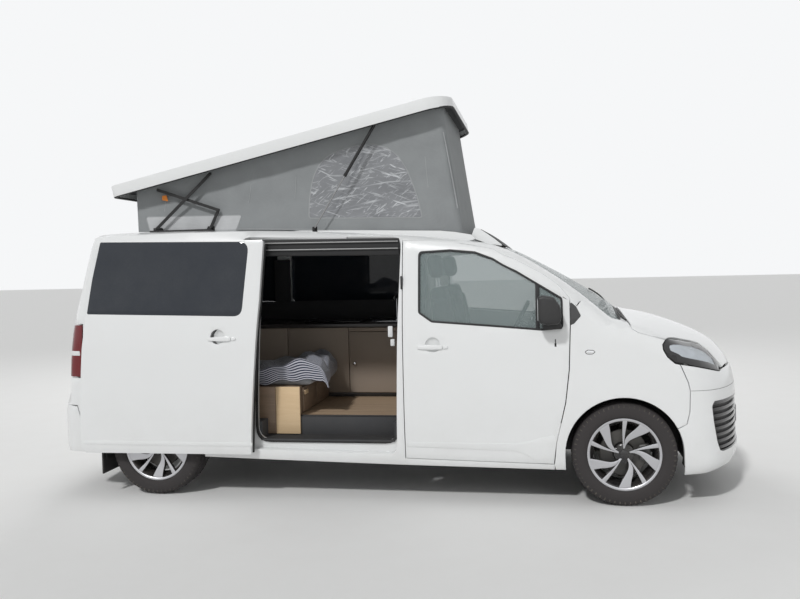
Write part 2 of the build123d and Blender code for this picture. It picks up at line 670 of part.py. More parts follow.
# Steering wheel on its tilted column
STEERING_WHEEL = (880, 400, 1140)
STEERING_TILT = 62
steering_plane = Plane(origin=STEERING_WHEEL, x_dir=(0, 1, 0),
                       z_dir=(-sin(radians(STEERING_TILT)), 0, cos(radians(STEERING_TILT))))
with BuildPart() as steering_wheel:
    with BuildSketch(steering_plane):
        with Locations((0, 0)):
            Circle(188)
            Circle(164, mode=Mode.SUBTRACT)
    extrude(amount=12, both=True)
    with BuildSketch(steering_plane.offset(-6)):
        Rectangle(350, 34)
        with Locations((0, -85)):
            Rectangle(36, 170)
        Circle(62)
    extrude(amount=14, both=True)
    with BuildSketch(steering_plane.offset(-20)):
        Circle(20)
    extrude(amount=-60)
finish(steering_wheel.part, "steering_wheel")

with BuildPart() as steering_column:
    with BuildSketch(steering_plane.offset(-80 - SEAT_GAP)):
        Circle(34)
    extrude(amount=-190)
    add(dashboard.part, mode=Mode.SUBTRACT)
finish(steering_column.part, "steering_column")

# Front seats
with BuildPart() as front_seats:
    for y in (-440, 440):
        with Locations((600, y, FLOOR_BASE + FLOOR_SHEET)):
            Box(400, 400, 300, align=(Align.CENTER, Align.CENTER, Align.MIN))
        with Locations((630, y, 835)):
            Box(520, 500, 130, align=(Align.CENTER, Align.CENTER, Align.MIN))
        with BuildSketch(Plane(origin=(0, y, 0), x_dir=(1, 0, 0), z_dir=(0, -1, 0))):
            with BuildLine():
                Polyline((400, 900), (520, 930), (430, 1500), (415, 1710), (335, 1710), (305, 1500),
                         close=True)
            make_face()
        extrude(amount=230, both=True)
        with Locations((360, y - 190, 1610)):
            Box(300, 130, 230, mode=Mode.SUBTRACT)
        with Locations((360, y + 190, 1610)):
            Box(300, 130, 230, mode=Mode.SUBTRACT)
finish(front_seats.part, "front_seats")

# Camping furniture
WOOD_TOP = FLOOR_BASE + FLOOR_SHEET + WOOD_SHEET
with BuildPart() as kitchen_cabinet:
    with Locations((-2000, 120, WOOD_TOP)):
        Box(2040, 710, 470, align=(Align.MIN, Align.MIN, Align.MIN))
    for side in (-1, 1):
        with Locations((REAR_AXLE_X, 860, 0)):
            Box(830, 450, 1500, mode=Mode.SUBTRACT)
finish(kitchen_cabinet.part, "kitchen_cabinet")

with BuildPart() as bench_box:
    with Locations((-2050, -635, WOOD_TOP)):
        Box(1410, 735, 212, align=(Align.MIN, Align.MIN, Align.MIN))
    with Locations((-1250, -700, WOOD_TOP)):
        Box(610, 66, 212, align=(Align.MIN, Align.MIN, Align.MIN))
finish(bench_box.part, "bench_box")

with BuildPart() as mattress:
    with Locations((-2050, -700, WOOD_TOP + 212 + SEAT_GAP)):
        Box(1610, 800, 110, align=(Align.MIN, Align.MIN, Align.MIN))
    fillet(mattress.edges().filter_by(Axis.Z), 60)
finish(mattress.part, "mattress")

# Running gear
with BuildPart() as engine_block:
    with Locations((1680, 0, 230)):
        Box(480, 620, 640, align=(Align.CENTER, Align.CENTER, Align.MIN))
finish(engine_block.part, "engine_block")

with BuildPart() as front_subframe:
    with Locations((1600, 0, 165)):
        Box(260, 800, 65, align=(Align.CENTER, Align.CENTER, Align.MIN))
    for side in (-1, 1):
        with BuildSketch(Plane.XY.offset(165)):
            with BuildLine():
                Polyline((FRONT_AXLE_X - 120, side * 400), (FRONT_AXLE_X - 32, side * 745),
                         (FRONT_AXLE_X + 32, side * 745), (FRONT_AXLE_X + 120, side * 400), close=True)
            make_face()
            with Locations((FRONT_AXLE_X, side * 745)):
                Circle(32)
        extrude(amount=25)
        for x in (1510, 1690):
            with Locations((x, side * 385, 230)):
                Box(50, 40, FLOOR_BASE + FLOOR_SHEET - RAIL_HEIGHT - 230,
                    align=(Align.CENTER, Align.CENTER, Align.MIN))
        with BuildSketch(kingpin_plane(side)):
            Circle(10 + SEAT_GAP)
        extrude(amount=60, both=True, mode=Mode.SUBTRACT)
finish(front_subframe.part, "front_subframe")


def knuckle(side):
    """Hub carrier, spindle and strut of a front wheel."""
    hub_y = FRONT_TRACK / 2
    foot = kingpin_plane(side)
    strut_top = foot.offset((TOWER_TOP - KINGPIN_FOOT[2]) / cos(radians(KINGPIN_LEAN)) - SEAT_GAP).origin
    strut_foot = Vector(FRONT_AXLE_X, side * STRUT_CLAMP_Y, TYRE_RADIUS + 80)
    with BuildPart() as carrier:
        with Locations((FRONT_AXLE_X, side * (hub_y - 78), TYRE_RADIUS)):
            Box(70, 40, 250)
        with Locations((FRONT_AXLE_X, side * (hub_y - 98), TYRE_RADIUS)):
            Cylinder(SPINDLE_RADIUS, 150, rotation=(side * -90, 0, 0),
                     align=(Align.CENTER, Align.CENTER, Align.MIN))
        with Locations((FRONT_AXLE_X, side * (hub_y - 62), TYRE_RADIUS + 100)):
            Box(60, 120, 50, align=(Align.CENTER, Align.MAX if side > 0 else Align.MIN, Align.CENTER))
        with BuildSketch(foot.offset(-35)):
            Circle(10)
        extrude(amount=60)
        with BuildSketch(Plane(origin=strut_foot, x_dir=(1, 0, 0), z_dir=strut_top - strut_foot)):
            Circle(28)
        extrude(amount=(strut_top - strut_foot).length - 5)
        with BuildSketch(Plane(origin=strut_top, z_dir=kingpin_plane(side).z_dir)):
            Circle(12)
        extrude(amount=-30)
    return carrier.part


finish(knuckle(-1), "knuckle_right")
finish(knuckle(1), "knuckle_left")

with BuildPart() as rear_axle:
    with Locations((REAR_AXLE_X, 0, TYRE_RADIUS)):
        Box(90, 1290, 80)
        Cylinder(SPINDLE_RADIUS, REAR_TRACK + 90, rotation=(90, 0, 0))
        Cylinder(50, 1390, rotation=(90, 0, 0))
    for side in (-1, 1):
        with BuildSketch(Plane(origin=(0, side * 560, 0), x_dir=(1, 0, 0), z_dir=(0, -1, 0))):
            with BuildLine():
                Polyline((REAR_AXLE_X, 300), (REAR_AXLE_X, 380), (-1240, 470), (-1240, FLOOR_BASE),
                         (-1140, FLOOR_BASE), (-1140, 410), close=True)
            make_face()
        extrude(amount=30, both=True)
finish(rear_axle.part, "rear_axle")

SPOKE_COUNT = 5
SPOKE_FACE = 84
SPOKE_DEPTH = 26
BROAD_SPOKE_ANGLE = 56
THIN_SPOKE_ANGLE = 20
BROAD_SPOKE = [(50, -14), (130, -30), (212, -38), (212, 30), (130, 24), (50, 12)]
THIN_SPOKE = [(45, -9), (212, -17), (212, 17), (45, 9)]
with BuildPart() as rim:
    with BuildSketch(Plane.XY):
        with BuildLine():
            Polyline((SPINDLE_RADIUS + SEAT_GAP, -40), (60, -40), (60, -12), (140, -12), (140, 10),
                     (72, 10), (72, SPOKE_FACE), (SPINDLE_RADIUS + SEAT_GAP, SPOKE_FACE), close=True)
        make_face()
        with BuildLine():
            Polyline((204, -97), (233, -97), (233, -90), (RIM_RADIUS, -90), (RIM_RADIUS, 90),
                     (233, 90), (233, 97), (204, 97), close=True)
        make_face()
    revolve(axis=Axis.Y)
    with BuildSketch(Plane(origin=(0, SPOKE_FACE, 0), x_dir=(1, 0, 0), z_dir=(0, -1, 0))):
        with PolarLocations(0, SPOKE_COUNT, start_angle=BROAD_SPOKE_ANGLE):
            Polygon(*BROAD_SPOKE, align=None)
        with PolarLocations(0, SPOKE_COUNT, start_angle=THIN_SPOKE_ANGLE):
            Polygon(*THIN_SPOKE, align=None)
    extrude(amount=SPOKE_DEPTH)
    with Locations((0, SPOKE_FACE, 0)):
        Cylinder(34, SPOKE_DEPTH, rotation=(90, 0, 0), align=(Align.CENTER, Align.CENTER, Align.MIN))

with BuildPart() as tyre:
    with BuildSketch(Plane.XY):
        with BuildLine():
            Polyline((RIM_RADIUS + 0.2, 89.5), (RIM_RADIUS + 0.2, -89.5), (234, -89.5), (262, -108),
                     (292, -TYRE_WIDTH / 2), (322, -104), (336, -90), (TYRE_RADIUS, -70), (TYRE_RADIUS, 70),
                     (336, 90), (322, 104), (292, TYRE_WIDTH / 2), (262, 108), (234, 89.5), close=True)
        make_face()
    revolve(axis=Axis.Y)

WHEELS = (
    # name, axle X, track, side
    ("front_right", FRONT_AXLE_X, FRONT_TRACK, -1),
    ("front_left", FRONT_AXLE_X, FRONT_TRACK, 1),
    ("rear_right", REAR_AXLE_X, REAR_TRACK, -1),
    ("rear_left", REAR_AXLE_X, REAR_TRACK, 1),
)
for name, axle_x, track, side in WHEELS:
    for piece, label in ((rim.part, "rim"), (tyre.part, "tyre")):
        with BuildPart() as wheel_piece:
            with Locations((axle_x, side * track / 2, TYRE_RADIUS)):
                add(piece, rotation=(0, 0, 90 - 90 * side))
        finish(wheel_piece.part, f"{label}_{name}")

with BuildPart() as exhaust:
    with Locations((-1350, 240, 262)):
        Cylinder(26, 1600, rotation=(0, 90, 0))
    with Locations((-700, 240, 270)):
        Box(500, 220, 110)
    for x in (-700, -2040):
        with Locations((x, 240, 262)):
            Box(12, 20, FLOOR_BASE - 262, align=(Align.CENTER, Align.CENTER, Align.MIN))
finish(exhaust.part, "exhaust")

with BuildPart() as fuel_tank:
    with Locations((250, -60, FLOOR_BASE)):
        Box(760, 620, 240, align=(Align.CENTER, Align.CENTER, Align.MAX))
    fillet(fuel_tank.edges().filter_by(Axis.Z), 60)
finish(fuel_tank.part, "fuel_tank")

# Lifting roof, stored open. It swings about a pole behind the van, as its linkage guides it.
LID_SLOPE = degrees(atan2(LID_FRONT_OPEN[1] - LID_REAR_OPEN[1], LID_FRONT_OPEN[0] - LID_REAR_OPEN[0]))
LID_LENGTH = hypot(LID_FRONT_OPEN[0] - LID_REAR_OPEN[0], LID_FRONT_OPEN[1] - LID_REAR_OPEN[1])
LID_TRAVEL = LID_SLOPE + LID_CLOSED_TILT
half_cot = 0.5 / tan(radians(LID_TRAVEL / 2))
drop_x = LID_REAR_CLOSED[0] - LID_REAR_OPEN[0]
drop_z = LID_REAR_CLOSED[1] - LID_REAR_OPEN[1]
LID_POLE = ((LID_REAR_OPEN[0] + LID_REAR_CLOSED[0]) / 2 + half_cot * drop_z,
            (LID_REAR_OPEN[1] + LID_REAR_CLOSED[1]) / 2 - half_cot * drop_x)
print("lid travel", round(LID_TRAVEL, 4), "pole", [round(value, 3) for value in LID_POLE])

lid_plane = Plane(origin=(LID_REAR_OPEN[0], 0, LID_REAR_OPEN[1]),
                  x_dir=(cos(radians(LID_SLOPE)), 0, sin(radians(LID_SLOPE))),
                  z_dir=(-sin(radians(LID_SLOPE)), 0, cos(radians(LID_SLOPE))))


def on_lid(along, up=0):
    """A point of the side view, along the open lid's lower edge and up from it."""
    slope = radians(LID_SLOPE)
    return (LID_REAR_OPEN[0] + along * cos(slope) - up * sin(slope),
            LID_REAR_OPEN[1] + along * sin(slope) + up * cos(slope))


LID_RIM = 26
STRUT_FOOT = (-509, 1888)
STRUT_EYE = on_lid(2045, 18)
STRUT_LAYER = 712
with BuildPart() as lifting_roof:
    with BuildSketch(lid_plane) as plan:
        with Locations((LID_LENGTH / 2, 0)):
            Rectangle(LID_LENGTH, 2 * LID_HALF_WIDTH)
        fillet(plan.vertices().group_by(Axis.X)[-1], 240)
        fillet(plan.vertices().group_by(Axis.X)[0], 90)
    extrude(amount=LID_DEPTH)
    fillet(lifting_roof.faces().sort_by(Axis(lid_plane.origin, lid_plane.z_dir))[-1].edges(), 30)
    with BuildSketch(lid_plane) as hollow:
        with Locations((LID_LENGTH / 2, 0)):
            Rectangle(LID_LENGTH - 2 * LID_RIM, 2 * (LID_HALF_WIDTH - LID_RIM))
        fillet(hollow.vertices().group_by(Axis.X)[-1], 240 - LID_RIM)
        fillet(hollow.vertices().group_by(Axis.X)[0], 90 - LID_RIM)
    extrude(amount=LID_DEPTH - LID_SKIN, mode=Mode.SUBTRACT)
    for side in (-1, 1):
        with Locations((STRUT_EYE[0], side * (STRUT_LAYER + 6.6), STRUT_EYE[1])):
            Cylinder(6, 30, rotation=(side * -90, 0, 0), align=(Align.CENTER, Align.CENTER, Align.MIN))
finish(lifting_roof.part, "lifting_roof")

# Tent wall between the hatch and the lifting roof
TENT_CEILING = LID_DEPTH - LID_SKIN - 0.5
tent_rear_top = on_lid(150, TENT_CEILING)
tent_front_top = on_lid(LID_LENGTH - 70, TENT_CEILING)


def tent_form(inset):
    """The tent's outer form moved in by inset, down into the roof."""
    outline = [(-1905, 1700), (-1905, 1900), tent_rear_top, tent_front_top, (560, 1845), (560, 1700)]
    with BuildPart() as form:
        with BuildSketch(Plane.XZ):
            with BuildLine():
                Polyline(*[(x + (inset if x < -600 else -inset), z) for x, z in outline], close=True)
            make_face()
        extrude(amount=TENT_HALF_WIDTH - inset, both=True)
    return form.part


with BuildPart() as tent:
    add(tent_form(0))
    add(tent_form(TENT_SHEET), mode=Mode.SUBTRACT)
    add(OUTER, mode=Mode.SUBTRACT)
finish(tent.part, "tent")

# Linkage of the lifting roof, one side at a time
BAR = 6
BAR_WIDTH = 22
LONG_BAR_FOOT = (-1730, 1918)
LONG_BAR_LENGTH = 590
LONG_BAR_RISE = 42.1
SHORT_LINK_FOOT = (-1311, 1918)
SHORT_LINK_LENGTH = 147
SHORT_LINK_RISE = 64
CROSS_BAR_LENGTH = 490
CROSS_BAR_RISE = 160.7
LINK_LAYER = 656
CROSS_LAYER = 668
LONG_LAYER = 680
JOINT_PIN = 5


def at(start, length, rise):
    """The far end of a bar in side view."""
    return (start[0] + length * cos(radians(rise)), start[1] + length * sin(radians(rise)))


def bar(start, end, layer, holes):
    """A flat bar with round ends in both sides' planes, pierced for its pins."""
    length = hypot(end[0] - start[0], end[1] - start[1])
    rise = degrees(atan2(end[1] - start[1], end[0] - start[0]))
    with BuildPart() as made:
        with BuildSketch(Plane(origin=(0, layer, 0), x_dir=(1, 0, 0), z_dir=(0, -1, 0))):
            with Locations(Location(((start[0] + end[0]) / 2, (start[1] + end[1]) / 2), rise)):
                SlotCenterToCenter(length, BAR_WIDTH)
            for hole in holes:
                with Locations(hole):
                    Circle(JOINT_PIN + SEAT_GAP, mode=Mode.SUBTRACT)
        extrude(amount=BAR / 2, both=True)
        mirror(about=Plane.XZ)
    return made.part


def pins(point, low, high, radius=JOINT_PIN):
    """A round pin across one pivot, on both sides of the van."""
    with BuildPart() as made:
        with Locations((point[0], (low + high) / 2, point[1])):
            Cylinder(radius, high - low, rotation=(90, 0, 0))
        mirror(about=Plane.XZ)
    return made.part


LINK_JOINT = at(SHORT_LINK_FOOT, SHORT_LINK_LENGTH, SHORT_LINK_RISE)
long_bar_end = at(LONG_BAR_FOOT, LONG_BAR_LENGTH, LONG_BAR_RISE)
cross_bar_end = at(LINK_JOINT, CROSS_BAR_LENGTH, CROSS_BAR_RISE)
finish(bar(LONG_BAR_FOOT, long_bar_end, LONG_LAYER, [LONG_BAR_FOOT]), "long_bars")
finish(bar(LINK_JOINT, cross_bar_end, CROSS_LAYER, [LINK_JOINT]), "cross_bars")
with BuildPart() as short_links:
    add(bar(SHORT_LINK_FOOT, LINK_JOINT, LINK_LAYER, [SHORT_LINK_FOOT]))
    add(pins(LINK_JOINT, LINK_LAYER + BAR / 2, CROSS_LAYER + BAR / 2))
finish(short_links.part, "short_links")

strut_rise = atan2(STRUT_EYE[1] - STRUT_FOOT[1], STRUT_EYE[0] - STRUT_FOOT[0])
strut_length = hypot(STRUT_EYE[0] - STRUT_FOOT[0], STRUT_EYE[1] - STRUT_FOOT[1])
strut_plane = Plane(origin=(STRUT_FOOT[0], STRUT_LAYER, STRUT_FOOT[1]), x_dir=(0, 1, 0),
                    z_dir=(cos(strut_rise), 0, sin(strut_rise)))
STRUT_TUBE = 490
STRUT_ROD_TAIL = 430
with BuildPart() as strut_cylinders:
    with BuildSketch(strut_plane.offset(12)):
        Circle(11)
        Circle(5.3, mode=Mode.SUBTRACT)
    extrude(amount=STRUT_TUBE - 12)
    with Locations((STRUT_FOOT[0], STRUT_LAYER, STRUT_FOOT[1])):
        Cylinder(14, 12, rotation=(90, 0, 0))
        Cylinder(JOINT_PIN + SEAT_GAP, 20, rotation=(90, 0, 0), mode=Mode.SUBTRACT)
    mirror(about=Plane.XZ)
finish(strut_cylinders.part, "strut_cylinders")
with BuildPart() as strut_rods:
    with BuildSketch(strut_plane.offset(STRUT_ROD_TAIL)):
        Circle(5)
    extrude(amount=strut_length - STRUT_ROD_TAIL - 10)
    with Locations((STRUT_EYE[0], STRUT_LAYER, STRUT_EYE[1])):
        Cylinder(12, 12, rotation=(90, 0, 0))
        Cylinder(JOINT_PIN + 1, 20, rotation=(90, 0, 0), mode=Mode.SUBTRACT)
    mirror(about=Plane.XZ)
finish(strut_rods.part, "strut_rods")

# Base rails on the roof that carry the linkage's feet
with BuildPart() as lift_rails:
    with BuildSketch(Plane(origin=(0, 644, 0), x_dir=(1, 0, 0), z_dir=(0, -1, 0))):
        with BuildLine():
            Polyline((-1765, 1800), (-1765, 1934), (-1695, 1934), (-1680, 1905), (-1350, 1905),
                     (-1335, 1934), (-1285, 1934), (-1285, 1800), close=True)
        make_face()
    extrude(amount=-4)
    with BuildSketch(Plane(origin=(0, 698, 0), x_dir=(1, 0, 0), z_dir=(0, -1, 0))):
        with Locations((STRUT_FOOT[0], STRUT_FOOT[1] - 40)):
            Rectangle(36, 110)
    extrude(amount=4)
    add(OUTER, mode=Mode.SUBTRACT)
    mirror(about=Plane.XZ)
    add(pins(LONG_BAR_FOOT, 646, LONG_LAYER + BAR / 2))
    add(pins(SHORT_LINK_FOOT, 646, LINK_LAYER + BAR / 2))
    add(pins(STRUT_FOOT, 696, STRUT_LAYER + 6))
finish(lift_rails.part, "lift_rails")
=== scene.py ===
import math

import bpy
import numpy as np
from mathutils import Matrix, Vector


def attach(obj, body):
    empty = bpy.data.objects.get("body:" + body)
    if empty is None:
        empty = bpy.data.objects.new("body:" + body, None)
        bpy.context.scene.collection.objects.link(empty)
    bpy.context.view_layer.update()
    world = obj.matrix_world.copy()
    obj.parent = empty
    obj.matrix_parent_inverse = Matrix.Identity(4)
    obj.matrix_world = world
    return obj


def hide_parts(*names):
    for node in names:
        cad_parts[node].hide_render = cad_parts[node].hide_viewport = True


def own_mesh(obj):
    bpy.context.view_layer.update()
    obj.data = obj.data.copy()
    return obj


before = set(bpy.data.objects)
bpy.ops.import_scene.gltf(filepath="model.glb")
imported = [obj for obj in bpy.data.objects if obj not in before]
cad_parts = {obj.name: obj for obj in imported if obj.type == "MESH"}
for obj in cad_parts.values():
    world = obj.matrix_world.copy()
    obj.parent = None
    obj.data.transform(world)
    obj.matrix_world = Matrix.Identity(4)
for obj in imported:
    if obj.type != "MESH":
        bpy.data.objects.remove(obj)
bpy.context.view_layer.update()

bl_info = {
    "name": "Camper van with a lifting roof",
    "version": (1, 0, 0),
    "blender": (4, 5, 0),
    "location": "View3D > Sidebar > Camper van",
    "description": "Dresses the camper van's frame with panels, glass, wheels, tent wall and cabin",
    "category": "Object",
}

MM = 0.001
SIDES = {"right": -1, "left": 1}

# The body's form, in millimetres. Each table is a smooth curve's control points.
# Along the van: X, Z of the section beside the middle
LONG_SECTION = [
    (1000, 120), (-2300, 240), (-2450, 300), (-2478, 400), (-2478, 560), (-2436, 650), (-2412, 800),
    (-2395, 1000), (-2340, 1300), (-2222, 1810), (-2205, 1872), (-2130, 1897), (-1600, 1900), (-1050, 1891),
    (-454, 1865), (118, 1824), (500, 1787), (835, 1728), (1215, 1497), (1560, 1256), (1588, 1238),
    (1640, 1226), (1860, 1190), (2110, 1106), (2290, 1012), (2392, 880), (2440, 770), (2464, 600),
    (2466, 420), (2478, 330), (2440, 180),
]
# Across the van: Y, Z of its side wall
WALL_SECTION = [
    (-500, 120), (800, 120), (912, 225), (938, 420), (953, 600), (958, 800), (955, 1000), (946, 1180),
    (925, 1340), (900, 1500), (873, 1660), (848, 1800), (822, 1960), (822, 2300), (-500, 2300),
]
# From above: X, Y of the widest line
PLAN_SECTION = [
    (-2478, -500), (-2478, 0), (-2468, 420), (-2440, 760), (-2376, 905), (-2260, 966), (-2050, 1010),
    (1400, 1010), (1720, 970), (2000, 918), (2220, 820), (2366, 640), (2444, 380), (2478, 0), (2478, -500),
]
ROOF_EDGE_RADIUS = 62
CORNER_RADIUS = 80
ROOF_CROWN = 26
NOSE_BOW = 215
REAR_TUCK = 46
BOW_HALF = 800  # the bows of nose, rear and roof are measured at this Y

# The inner frame that the skin is seen from: a path round the van and a height along it
PATH_FRONT = (1950, 650)
PATH_REAR = (-2100, 700)
FRONT_TURN = 420
REAR_TURN = 330
SHOULDER_TURN = 180
SHOULDER_HEIGHT = [
    (-2100, 1700), (-454, 1672), (118, 1632), (500, 1594), (835, 1536), (1215, 1305), (1588, 1046),
    (1860, 1002), (2110, 918), (2290, 824), (2390, 690),
]
FRONT_ARC = FRONT_TURN * math.pi / 2
REAR_ARC = REAR_TURN * math.pi / 2
SIDE_RUN = PATH_FRONT[0] - PATH_REAR[0]
HALF_WAY = PATH_FRONT[1] + FRONT_ARC + SIDE_RUN + REAR_ARC + PATH_REAR[1]

# Outlines of the right side, X and Z
FRONT_DOOR = [
    (150, 298), (150, 1783), (469, 1767), (760, 1708), (914, 1632), (1100, 1527), (1197, 1452), (1262, 1368),
    (1262, 1190), (1251, 906), (1225, 688), (1163, 424), (1146, 272),
]
FRONT_DOOR_WINDOW = [
    (262, 1290), (262, 1700), (476, 1708), (643, 1690), (764, 1642), (916, 1556), (1056, 1469), (1212, 1372),
    (1214, 1178), (1083, 1166), (799, 1191), (350, 1228),
]
DOOR_MOULDING = [
    (162, 381), (896, 359), (972, 332), (1042, 280), (1142, 277), (1160, 420), (1152, 470), (1060, 452),
    (980, 424), (900, 412), (162, 412),
]
SLIDING_DOOR = [
    (-2177, 318), (-2211, 360), (-2168, 1069), (-2132, 1319), (-2038, 1838), (-823, 1812), (-841, 1398),
    (-898, 708), (-928, 323),
]
SLIDING_WINDOW = [(-2127, 1316), (-2050, 1828), (-926, 1801), (-966, 1286)]
DOORWAY = [(-905, 407), (92, 407), (116, 1379), (128, 1778), (-850, 1806)]
RECESS = [(92, 322), (112, 1069), (141, 1808), (-1000, 1838), (-1128, 1319), (-1171, 355)]
REAR_WINDOW = [(-2030, 1322), (-1960, 1780), (-1290, 1792), (-1306, 1312)]
MIDDLE_WINDOW = [(-1190, 1308), (-1160, 1790), (62, 1762), (62, 1290)]
HEADLAMP = [
    (1871, 1092), (1847, 1063), (1851, 1032), (1878, 981), (1922, 947), (2040, 922), (2233, 868), (2236, 900),
    (2214, 942), (2178, 989), (2117, 1037), (2056, 1059), (1974, 1081),
]
LAMP_LENS = [
    (1883, 1056), (1892, 1024), (1962, 984), (2026, 966), (2150, 930), (2204, 906), (2190, 946), (2128, 1000),
    (2050, 1034), (1960, 1056),
]
LAMP_STRIP = [
    (1890, 1052), (1894, 1040), (1950, 1046), (2000, 1040), (2044, 1020), (2002, 1048), (1950, 1054),
]
GRILLE_END = [(2176, 684), (2157, 653), (2169, 550), (2194, 414), (2214, 356), (2240, 345)]
SLAT_PITCH = 42.0
SLAT_HALF = 11
ARCH_RADIUS = 380
FRONT_AXLE = (1597, 342)
REAR_AXLE = (-1678, 342)
WING_SEAM = [(1952, 940), (1975, 880), (2002, 815), (2015, 759), (2011, 628), (1992, 545)]
ROOF_JOINT = 740
HATCH = [(-1868, -598), (428, -598), (428, 598), (-1868, 598)]
ROOF_RAIL = [
    (-760, 1862), (-700, 1876), (-618, 1879), (-106, 1865), (391, 1847), (495, 1835), (606, 1814),
    (640, 1782), (560, 1766), (118, 1808), (-454, 1850),
]
TAILGATE_HALF = 735
TAILGATE_BASE = 662
TAILGATE_TOP = 1838
LAMP_BASE = 853
LAMP_TOP = 1240
LAMP_MIDDLE = 1046
TAIL_HIGHLIGHT_HEIGHT = 1030  # height of the pale band across the tail lamp, a painted highlight
DOOR_SHIFT = -68  # the open sliding door stands this far out from the side
LINER_RADIUS = 388
LINER_BASE = 262
DOOR_HANDLE = (354, 1059)
SLIDING_HANDLE = (-1110, 1133)
SLIDING_HOLLOW = (-1140, 1147)  # the opening in the sliding door's skin, further back than the handle
HANDLE_HOLLOW = 52
HANDLE_DEPTH = 24
HANDLE_OUT = 10
HANDLE_ARCH = 8
HANDLE_BAR = [(-104, -12), (-104, 10), (0, 16), (68, 15), (68, -15), (0, -17)]
HANDLE_CAP = [(70, -14), (70, 14), (98, 9), (106, 0), (98, -10)]
WINDOW_ROUND = 45

# Where rays from inside the van start, and how far they reach
SIDE_START = 250
REAR_START = -1900
REAR_VIEW_START = -2000
FRONT_START = 1700
ROOF_DROP = 60
TOP_HALF = 700
RAY_REACH = 1100.0
RAY_STEPS = 17

# Points of an outline that are closer than this, in metres, become one
JOIN_WITHIN = 0.0002


def smooth_curve(points, closed=True, rounds=3):
    """Points along the smooth curve that a control outline gives."""
    line = np.array(points, float)
    for _ in range(rounds):
        following = np.roll(line, -1, axis=0)
        if not closed:
            line, following = line[:-1], following[:-1]
        line = np.stack([0.75 * line + 0.25 * following, 0.25 * line + 0.75 * following], 1).reshape(-1, 2)
    return line


def outside_by(across, up, curve):
    """How far points lie outside a closed curve; negative inside."""
    nearest = np.full(across.shape, 1e9)
    inside = np.zeros(across.shape, bool)
    for (ax, ay), (bx, by) in zip(curve, np.roll(curve, -1, axis=0)):
        ex, ey = bx - ax, by - ay
        share = np.clip(((across - ax) * ex + (up - ay) * ey) / (ex * ex + ey * ey + 1e-12), 0, 1)
        nearest = np.minimum(nearest, np.hypot(across - ax - share * ex, up - ay - share * ey))
        if ey:
            inside ^= ((ay > up) != (by > up)) & (across < ax + (up - ay) * ex / ey)
    return np.where(inside, -nearest, nearest)


def distance_table(curve, low, high, cell=8.0):
    """Reads how far points lie outside a closed curve from a fine grid."""
    across = np.arange(low[0], high[0] + cell, cell)
    up = np.arange(low[1], high[1] + cell, cell)
    grid = outside_by(*np.meshgrid(across, up, indexing="ij"), curve)

    def read(x, y):
        column = np.clip((x - low[0]) / cell, 0, len(across) - 1.001)
        row = np.clip((y - low[1]) / cell, 0, len(up) - 1.001)
        i, j = column.astype(int), row.astype(int)
        right, above = column - i, row - j
        lower = grid[i, j] * (1 - right) + grid[i + 1, j] * right
        upper = grid[i, j + 1] * (1 - right) + grid[i + 1, j + 1] * right
        return lower * (1 - above) + upper * above

    return read


LONG_FORM = distance_table(smooth_curve(LONG_SECTION), (-2700, 0), (2900, 2500))
WALL_FORM = distance_table(smooth_curve(WALL_SECTION), (-100, 0), (1300, 2500))
PLAN_FORM = distance_table(smooth_curve(PLAN_SECTION), (-2700, -100), (2700, 1300))


def ramp(value, start, run):
    """0 up to start, growing to 1 over run."""
    return np.clip((value - start) / run, 0, 1)


def round_edge(first, second, radius):
    """Two forms' common part, with a rounded edge between them."""
    reach = np.hypot(np.maximum(first + radius, 0), np.maximum(second + radius, 0))
    return np.minimum(np.maximum(first, second), -radius) + reach


def skin_depth(points):
    """How far points lie outside the body's skin, in millimetres."""
    x, y, z = points.T
    spread = (y / BOW_HALF) ** 2
    ahead = ramp(x, 900, 1200)
    ahead = ahead * ahead * (3 - 2 * ahead)
    bow = NOSE_BOW * ahead * (spread - 0.9 * (1 - ahead))
    tuck = REAR_TUCK * spread * ramp(-x, 1700, 500) * ramp(z, 620, 120)
    along = LONG_FORM(x + bow - tuck, z + ROOF_CROWN * (spread - 0.85))
    wall = WALL_FORM(np.abs(y), z)
    plan = PLAN_FORM(x, np.abs(y))
    return round_edge(round_edge(along, wall, ROOF_EDGE_RADIUS), plan, CORNER_RADIUS)


def path_frame(way):
    """Inner points and outward directions at these distances round the van, from the front middle."""
    way = np.where(way > HALF_WAY, way - 2 * HALF_WAY, way)
    way = np.where(way < -HALF_WAY, way + 2 * HALF_WAY, way)
    side = np.where(way < 0, -1.0, 1.0)
    run = np.abs(way)
    turned = np.clip((run - PATH_FRONT[1]) / FRONT_TURN, 0, math.pi / 2)
    past = run - PATH_FRONT[1] - FRONT_ARC - SIDE_RUN
    turned = turned + np.clip(past / REAR_TURN, 0, math.pi / 2)
    x = PATH_FRONT[0] - np.clip(run - PATH_FRONT[1] - FRONT_ARC, 0, SIDE_RUN)
    y = np.where(run < PATH_FRONT[1], run, PATH_FRONT[1])
    share = (PATH_FRONT[0] - x) / SIDE_RUN
    y = y + share * (PATH_REAR[1] - PATH_FRONT[1])
    y = y - np.clip(past - REAR_ARC, 0, PATH_REAR[1])
    return x, side * y, np.cos(turned), side * np.sin(turned)


def shoulder(x):
    """Height of the inner frame's edge along the van."""
    table = np.array(SHOULDER_HEIGHT, float)
    return np.interp(x, table[:, 0], table[:, 1])


def find_skin(inner, outward, level):
    """Where rays from inner points meet the skin, level millimetres inside it."""
    near = np.zeros(len(inner))
    far = np.full(len(inner), RAY_REACH)
    for _ in range(RAY_STEPS):
        middle = (near + far) / 2
        outside = skin_depth(inner + outward * middle[:, None]) > -level
        far = np.where(outside, middle, far)
        near = np.where(outside, near, middle)
    return inner + outward * ((near + far) / 2)[:, None]


